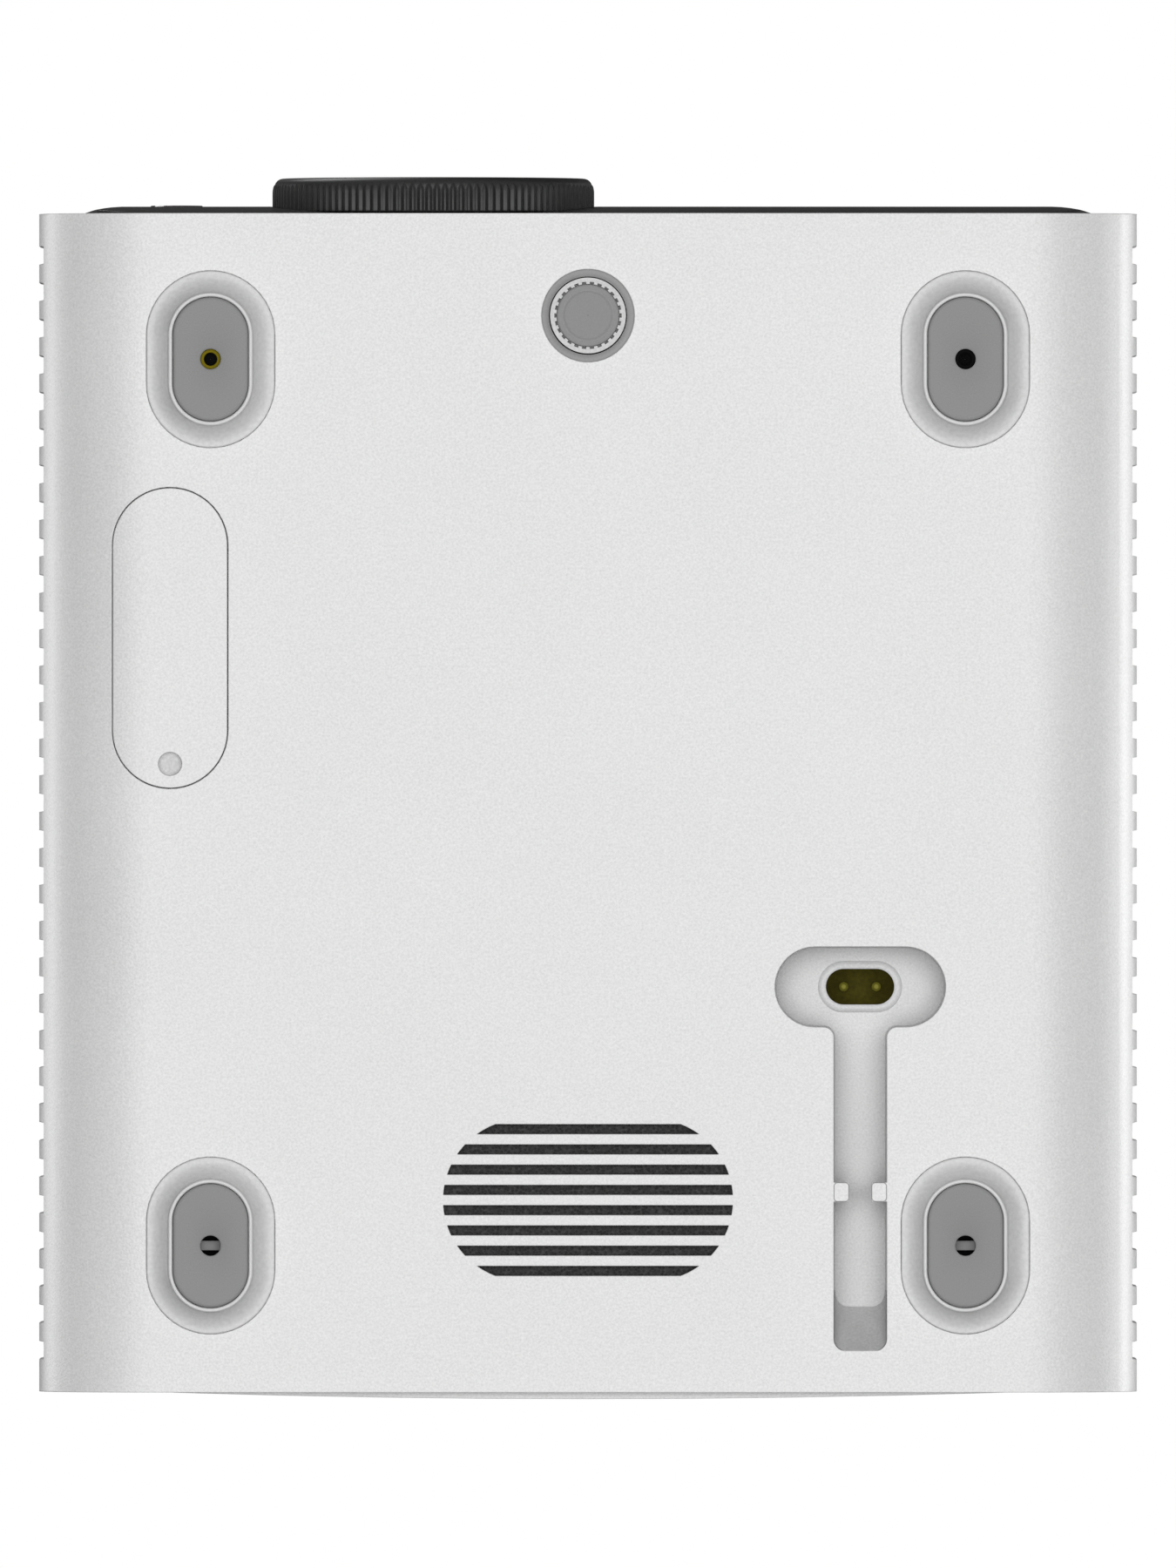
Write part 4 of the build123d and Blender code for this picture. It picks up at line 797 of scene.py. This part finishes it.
# ------------------------------------------------------------------ filter hatch
# The hatch is moulded in the pale plastic of the base, with a shallow dimple for a fingertip,
# and clips in. Behind it a square of open-celled foam keeps the dust out.
cells, enter, leave = effect(
    "open cells",
    [
        ("Colour", COLOUR, (0.08, 0.08, 0.08, 1)),
        ("Cell Scale", NUMBER, 900.0),
        ("Depth", NUMBER, 0.0005),
        ("Roughness", NUMBER, 0.95),
    ],
    SURFACE_OUTPUTS,
)
pores = cells.nodes.new("ShaderNodeTexVoronoi")
cells.links.new(object_places(cells), pores.inputs["Vector"])
cells.links.new(enter.outputs["Cell Scale"], pores.inputs["Scale"])
walls = pores.outputs["Distance"]
tone = maths(cells, "ADD", 0.25, maths(cells, "MULTIPLY", walls, 1.6))
rough = maths(cells, "SUBTRACT", enter.outputs["Roughness"], maths(cells, "MULTIPLY", walls, 0.1))
cells.links.new(scaled(cells, enter.outputs["Colour"], tone), leave.inputs["Base Color"])
cells.links.new(rough, leave.inputs["Roughness"])
cells.links.new(relief(cells, enter.outputs["Depth"], walls), leave.inputs["Normal"])
hatch_low, hatch_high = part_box("filter_hatch")
dimple_setback = 0.0063
dimple_x, dimple_y = (hatch_low.x + hatch_high.x) / 2, hatch_high.y - dimple_setback
# A shallow dish from its edge to its middle: reach, depth
dimple_profile = [(0.00308, 0.0003), (0.0029, 0.0006), (0.0022, 0.00072), (0.0001, 0.00075)]
dimple_rings = [round_ring(dimple_x, dimple_y, reach, base_z + depth) for reach, depth in dimple_profile]
hatch_dimple = skin_piece("hatch_dimple_skin", dimple_rings)
# The dimple takes the darker copy of the pale plastic: painted shade in its shallow dish
hatch_dimple.data.materials.append(shaded_knob_plastic)
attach(hatch_dimple, "filter_hatch")

foam = finish("filter foam", cells, {"Colour": grey(0.07), "Cell Scale": 700.0})
dress(foam, "filter_foam")


# ------------------------------------------------------------------ speaker
# Behind the slots lies a fine woven steel mesh, painted black, over a cone of pressed paper
# that is glued into a moulded basket.
mesh_values = {"Colour": grey(0.03), "Cell Scale": 1500.0, "Roughness": 0.8}
cone_values = {"Colour": grey(0.05), "Cell Scale": 1800.0, "Depth": 0.0001}
mesh_paint = finish("black steel mesh", cells, mesh_values)
cone_paper = finish("pressed paper", cells, cone_values)
dress(mesh_paint, "speaker_mesh")
dress(cone_paper, "speaker_cone")
dress(dark_plastic, "speaker_frame")


# ------------------------------------------------------------------ power inlet
# The cord's channel ends at an inlet moulded in dark brown plastic, with two plated pins pressed
# into it. It is fixed from inside, behind a thin lip of the shell.
inlet_plastic = finish(
    "brown inlet plastic",
    moulded,
    {
        "Colour": (0.062, 0.053, 0.001, 1),
        "Edge Colour": (0.05, 0.045, 0.002, 1),
        "Roughness": 0.6,
        "Grain Scale": 900.0,
        "Grain Depth": 0.00002,
        "Edge Size": 0.0004,
        "Mottle": 0.5,
    },
    Specular_IOR_Level=0.08,
)
dress(inlet_plastic, "power_inlet")
inlet_low, inlet_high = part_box("power_inlet")
inlet_centre = (inlet_low + inlet_high) / 2
lip_half = 0.0047
lip_straight = 0.0043
lip_outer = 0.0068
lip_proud = 0.0001
lip_length = 0.0008
lip_z = inlet_low.z - lip_proud
lip_rows = [(lip_outer, inlet_low.z), (lip_outer, lip_z), (lip_half + 0.0001, lip_z)]
lip_rows += [(lip_half, inlet_low.z), (lip_half, inlet_low.z + lip_length)]
lip_rings = []
for reach, z in lip_rows:
    upright_ring = round_ended(Vector((0, 0, 0)), reach, lip_straight, z)
    lip_rings.append([(inlet_centre.x + y, inlet_centre.y - x, height) for x, y, height in upright_ring])
inlet_surround = skin_piece("inlet_surround", lip_rings)
inlet_rim = finish(
    "shaded inlet rim",
    moulded,
    {
        "Colour": grey(0.62),
        "Edge Colour": grey(0.56),
        "Roughness": 0.45,
        "Grain Scale": 1700.0,
        "Grain Depth": 0.00006,
        "Edge Size": 0.0001,
        "Mottle": 0.2,
    },
)
inlet_surround.data.materials.append(inlet_rim)
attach(inlet_surround, "case")
pin_tone = (0.19, 0.175, 0.014, 1)
pin_brass = finish("dull plated brass", turned, {"Colour": pin_tone, "Roughness": 0.6}, Metallic=0.4)
dress(pin_brass, "inlet_pins")


# ------------------------------------------------------------------ cord channel
# The walls of the cord's channel lean a little, and its floor ends in a rounded ramp that lets
# the cord out. Two nubs hold the cord down.
channel_x, channel_y = inlet_centre.x, inlet_centre.y
channel_end = 0.0960
channel_floor_end = 0.0845
channel_depth = 0.014
channel_floor_z = base_z + channel_depth
wall_lean = 0.0004
mouth_round = 0.0001
mouth_round_depth = 0.0006
ramp_half = 0.0065
ramp_corner = 0.0036
ramp_side = 0.0045
ramp_lift = 0.0002
head_straight = 0.01195
head_radius = 0.0106
stem_half = 0.007
stem_fillet = 0.0027
end_corner = 0.0032


def arc(centre, radius, start, end, steps=12):
    """Points along an arc, from one angle to another in degrees."""
    turns = [math.radians(start + (end - start) * i / steps) for i in range(steps + 1)]
    return [(centre[0] + radius * math.cos(turn), centre[1] + radius * math.sin(turn)) for turn in turns]


def channel_ring(inset, z):
    """The channel's outline, drawn in by inset, at height z."""
    fillet_x = stem_half + stem_fillet
    fillet_y = head_radius + stem_fillet
    corner_x = stem_half - end_corner
    corner_y = channel_end - end_corner
    points = arc((head_straight, 0), head_radius - inset, -90, 90, 24)
    points += arc((fillet_x, fillet_y), stem_fillet + inset, -90, -180)
    points += arc((corner_x, corner_y), end_corner - inset, 0, 90)
    points += arc((-corner_x, corner_y), end_corner - inset, 90, 180)
    points += arc((-fillet_x, fillet_y), stem_fillet + inset, 0, -90)
    points += arc((-head_straight, 0), head_radius - inset, 90, 270, 24)
    return [(channel_x + x, channel_y + y, z) for x, y in points]


def ramp_ring(half, end, corner, z):
    """An open U-shaped line round the end of the channel, at height z."""
    start = channel_floor_end - ramp_side
    points = [(half, start)] + arc((half - corner, end - corner), corner, 0, 90)
    points += arc((corner - half, end - corner), corner, 90, 180) + [(-half, start)]
    return [(channel_x + x, channel_y + y, z) for x, y in points]


draft_rings = [channel_ring(0.0, base_z), channel_ring(mouth_round, base_z + mouth_round_depth)]
draft_rings += [channel_ring(wall_lean, channel_floor_z)]
channel_draft = skin_piece("channel_draft", draft_rings)
channel_draft.data.materials.append(pale_plastic)
ramp_run = channel_end - mouth_round - channel_floor_end
ramp_foot_z = channel_floor_z - ramp_lift
ramp_rows = 8
ramp_rings = []
for i in range(ramp_rows + 1):
    share = i / ramp_rows
    lean = wall_lean * share
    y, z = channel_floor_end + ramp_run * share, ramp_foot_z - (ramp_foot_z - base_z) * share
    ramp_rings.append(ramp_ring(ramp_half + lean, y, ramp_corner - lean, z))
channel_ramp = skin_piece("channel_ramp", ramp_rings, closed=False)
ramp_plastic = finish(
    "shaded pale plastic",
    moulded,
    {
        "Colour": grey(0.5),
        "Edge Colour": grey(0.4),
        "Roughness": 0.5,
        "Grain Scale": 1500.0,
        "Grain Depth": 0.00005,
        "Edge Size": 0.0002,
        "Mottle": 0.25,
    },
)
channel_ramp.data.materials.append(ramp_plastic)
# A thin dark ring round the face of each nub is painted shade, for its small rounded edge
nub_reach = 0.00405
nub_offset = 0.0541
nub_shade_line_proud = 0.00003
nub_shift = stem_half - nub_reach / 2
nub_y = channel_y + nub_offset
nub_shade_line_z = base_z - nub_shade_line_proud
nub_outlines = [(0.00205, 0.00257, 0.0010), (0.00183, 0.00235, 0.0008)]
for side, name in ((-1, "nub_shade_line_left"), (1, "nub_shade_line_right")):
    nub_rings = []
    for half_x, half_y, corner in nub_outlines:
        points = []
        for turn, way_x, way_y in ((0, 1, 1), (90, -1, 1), (180, -1, -1), (270, 1, -1)):
            middle = (way_x * (half_x - corner), way_y * (half_y - corner))
            points += arc(middle, corner, turn, turn + 90, 6)
        nub_rings.append([(channel_x + side * nub_shift + x, nub_y + y, nub_shade_line_z) for x, y in points])
    nub_shade_line = skin_piece(name, nub_rings)
    nub_shade_line.data.materials.append(rubber)
    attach(nub_shade_line, "case")
for piece in (channel_draft, channel_ramp):
    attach(piece, "case")


# ------------------------------------------------------------------ disc drive
# A folded steel pan guides the black tray. The tray carries the motor, the turntable and the
# pickup on two ground rods.
dress(steel, "drive_pan", "spindle_motor", "guide_rods")
dress(dark_plastic, "disc_tray", "laser_pickup")


# ------------------------------------------------------------------ sockets and boards
# Three coloured jacks, two folded metal sockets and a headphone socket stand on the main board.
# The boards have green solder resist with lighter tracks under it.
def jack_finish(name, colour):
    """Glossy coloured plastic of a jack's collar."""
    return finish(
        name,
        moulded,
        {
            "Colour": colour,
            "Edge Colour": grey(0.8),
            "Roughness": 0.3,
            "Grain Scale": 900.0,
            "Grain Depth": 0.00001,
            "Edge Size": 0.0003,
            "Mottle": 0.08,
        },
    )


dress(jack_finish("yellow jack", (0.75, 0.52, 0.04, 1)), "video_jack")
dress(jack_finish("white jack", grey(0.75)), "left_sound_jack")
dress(jack_finish("red jack", (0.55, 0.03, 0.03, 1)), "right_sound_jack")
dress(steel, "hdmi_socket", "usb_socket")
dress(dark_plastic, "phone_socket")

board_green, tree, surface = add_material("circuit board")
tracks = tree.nodes.new("ShaderNodeTexBrick")
tracks.inputs["Scale"].default_value = 240.0
tracks.inputs["Mortar Size"].default_value = 0.06
tracks.inputs["Color1"].default_value = (0.012, 0.085, 0.03, 1)
tracks.inputs["Color2"].default_value = (0.01, 0.07, 0.025, 1)
tracks.inputs["Mortar"].default_value = (0.04, 0.19, 0.07, 1)
rough = maths(tree, "ADD", 0.3, maths(tree, "MULTIPLY", noise(tree, 300.0), 0.2))
tree.links.new(object_places(tree), tracks.inputs["Vector"])
tree.links.new(tracks.outputs["Color"], surface.inputs["Base Color"])
tree.links.new(rough, surface.inputs["Roughness"])
tree.links.new(relief(tree, 0.00005, tracks.outputs["Fac"]), surface.inputs["Normal"])
dress(board_green, "main_board", "power_board", "key_board")


# ------------------------------------------------------------------ case screws
# Four plated screws hold the rear panel to the sleeve. Their low domed heads are pressed cold,
# with a four-lobed drive in each.
panel_low, panel_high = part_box("rear_panel")
screw_x = 0.126
screw_lift = 0.016
screw_head = 0.0028
screw_steps = 64
screw_sunk = 0.0001
drive_reach = 0.0014
drive_waist = 0.38
rear_bow = 0.00245
# The head from its edge to the bottom of its drive: reach, rise, whether the row has lobes
screw_profile = [(screw_head, -0.0003, 0), (screw_head, 0.0001, 0)]
screw_profile += [(screw_head * 0.93, 0.0003, 0), (screw_head * 0.75, 0.00038, 0)]
screw_profile += [(drive_reach * 1.05, 0.0004, 1), (drive_reach, 0.0003, 1)]
screw_profile += [(drive_reach * 0.9, -0.0006, 1), (0.00005, -0.0008, 0)]
for side in (-1, 1):
    for lift in (-1, 1):
        centre = Vector((side * screw_x, 0, (panel_low.z + panel_high.z) / 2 + lift * screw_lift))
        face_y = panel_high.y - rear_bow * (screw_x / panel_high.x) ** 2 - screw_sunk
        rows = []
        for reach, rise, lobes in screw_profile:
            ring = []
            for step in range(screw_steps):
                turn = 2 * math.pi * step / screw_steps
                lobe = drive_waist + (1 - drive_waist) * abs(math.cos(2 * turn)) ** 4 if lobes else 1.0
                x, z = reach * lobe * math.cos(turn), reach * lobe * math.sin(turn)
                ring.append((centre.x + x, face_y + rise, centre.z + z))
            rows.append(ring)
        screw = skin_piece("case_screw", rows)
        screw.data.materials.append(steel)
        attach(screw, "case")


# ------------------------------------------------------------------ fans
# Two square fans are moulded in dark plastic, each with a seven-bladed wheel on its hub.
# One blows out at the rear, and one cools the lamp.
dress(dark_plastic, "exhaust_fan_frame", "exhaust_fan_wheel", "lamp_fan_frame", "lamp_fan_wheel")


# ------------------------------------------------------------------ keys
# Satin dark caps stand a little above the top cover, with pale moulded signs on them. The disc's
# turntable is the same plastic.
key_plastic = finish(
    "satin key plastic",
    moulded,
    {
        "Colour": grey(0.10),
        "Edge Colour": grey(0.22),
        "Roughness": 0.36,
        "Grain Scale": 1500.0,
        "Grain Depth": 0.00001,
        "Edge Size": 0.0004,
        "Mottle": 0.1,
    },
)
dress(key_plastic, "power_key", "eject_key", "play_key", "stop_key", "arrow_ring", "enter_key", "turntable")


def raised_mark(name, body, outlines, height, material):
    """Thin flat shapes that stand on a key: outlines are lists of (x, y), walked round once."""
    mesh = bpy.data.meshes.new(name)
    shape = bmesh.new()
    for outline in outlines:
        face = shape.faces.new([shape.verts.new((x, y, height - mark_sink)) for x, y in outline])
        raised = bmesh.ops.extrude_face_region(shape, geom=[face])
        tops = [part for part in raised["geom"] if isinstance(part, bmesh.types.BMVert)]
        bmesh.ops.translate(shape, verts=tops, vec=(0, 0, mark_sink + mark_height))
    bmesh.ops.recalc_face_normals(shape, faces=shape.faces)
    shape.to_mesh(mesh)
    shape.free()
    mark = add_object(name, mesh)
    mesh.materials.append(material)
    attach(mark, body)


def band(centre, inner, outer, start, end, steps=28):
    """Outline of a flat arc between two radii, from one angle to another in degrees."""
    return arc(centre, outer, start, end, steps) + arc(centre, inner, end, start, steps)


def bar(centre, width, length):
    """Outline of a flat bar."""
    x, y = centre
    return [
        (x - width / 2, y - length / 2),
        (x + width / 2, y - length / 2),
        (x + width / 2, y + length / 2),
        (x - width / 2, y + length / 2),
    ]


def arrow_head(centre, size, heading):
    """Outline of a flat triangle that points along heading, in degrees."""
    return arc(centre, size, heading, heading + 240, 2)


mark_sink = 0.0003
mark_height = 0.00015
mark_paint = finish(
    "pale key marks",
    moulded,
    {
        "Colour": grey(0.55),
        "Edge Colour": grey(0.7),
        "Roughness": 0.45,
        "Grain Scale": 2200.0,
        "Grain Depth": 0.00001,
        "Edge Size": 0.0001,
        "Mottle": 0.1,
    },
)
key_middle = {}
for name in ("power_key", "eject_key", "play_key", "stop_key", "arrow_ring"):
    key_low, key_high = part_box(name)
    key_middle[name] = ((key_low.x + key_high.x) / 2, (key_low.y + key_high.y) / 2)
ring_key_low, ring_key_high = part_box("arrow_ring")
key_top = ring_key_high.z
arrow_inset = 0.0035
arrow_size = 0.0011
x, y = key_middle["power_key"]
power_shapes = [band((x, y), 0.0019, 0.0024, 125, 415), bar((x, y + 0.0017), 0.0005, 0.0024)]
raised_mark("power_mark", "power_key", power_shapes, key_top, mark_paint)
x, y = key_middle["eject_key"]
eject_shapes = [arrow_head((x, y + 0.0004), 0.0021, 90), bar((x, y - 0.0016), 0.0036, 0.0006)]
raised_mark("eject_mark", "eject_key", eject_shapes, key_top, mark_paint)
x, y = key_middle["play_key"]
play_shapes = [arrow_head((x - 0.0013, y), 0.0018, 0)]
play_shapes += [bar((x + 0.001, y), 0.0006, 0.003), bar((x + 0.0021, y), 0.0006, 0.003)]
raised_mark("play_mark", "play_key", play_shapes, key_top, mark_paint)
raised_mark("stop_mark", "stop_key", [bar(key_middle["stop_key"], 0.0032, 0.0032)], key_top, mark_paint)
arrow_reach = (ring_key_high.x - ring_key_low.x) / 2 - arrow_inset
x, y = key_middle["arrow_ring"]
arrows = []
for heading in (0, 90, 180, 270):
    way = math.radians(heading)
    arrow_place = (x + arrow_reach * math.cos(way), y + arrow_reach * math.sin(way))
    arrows.append(arrow_head(arrow_place, arrow_size, heading))
raised_mark("arrow_marks", "arrow_ring", arrows, key_top, mark_paint)
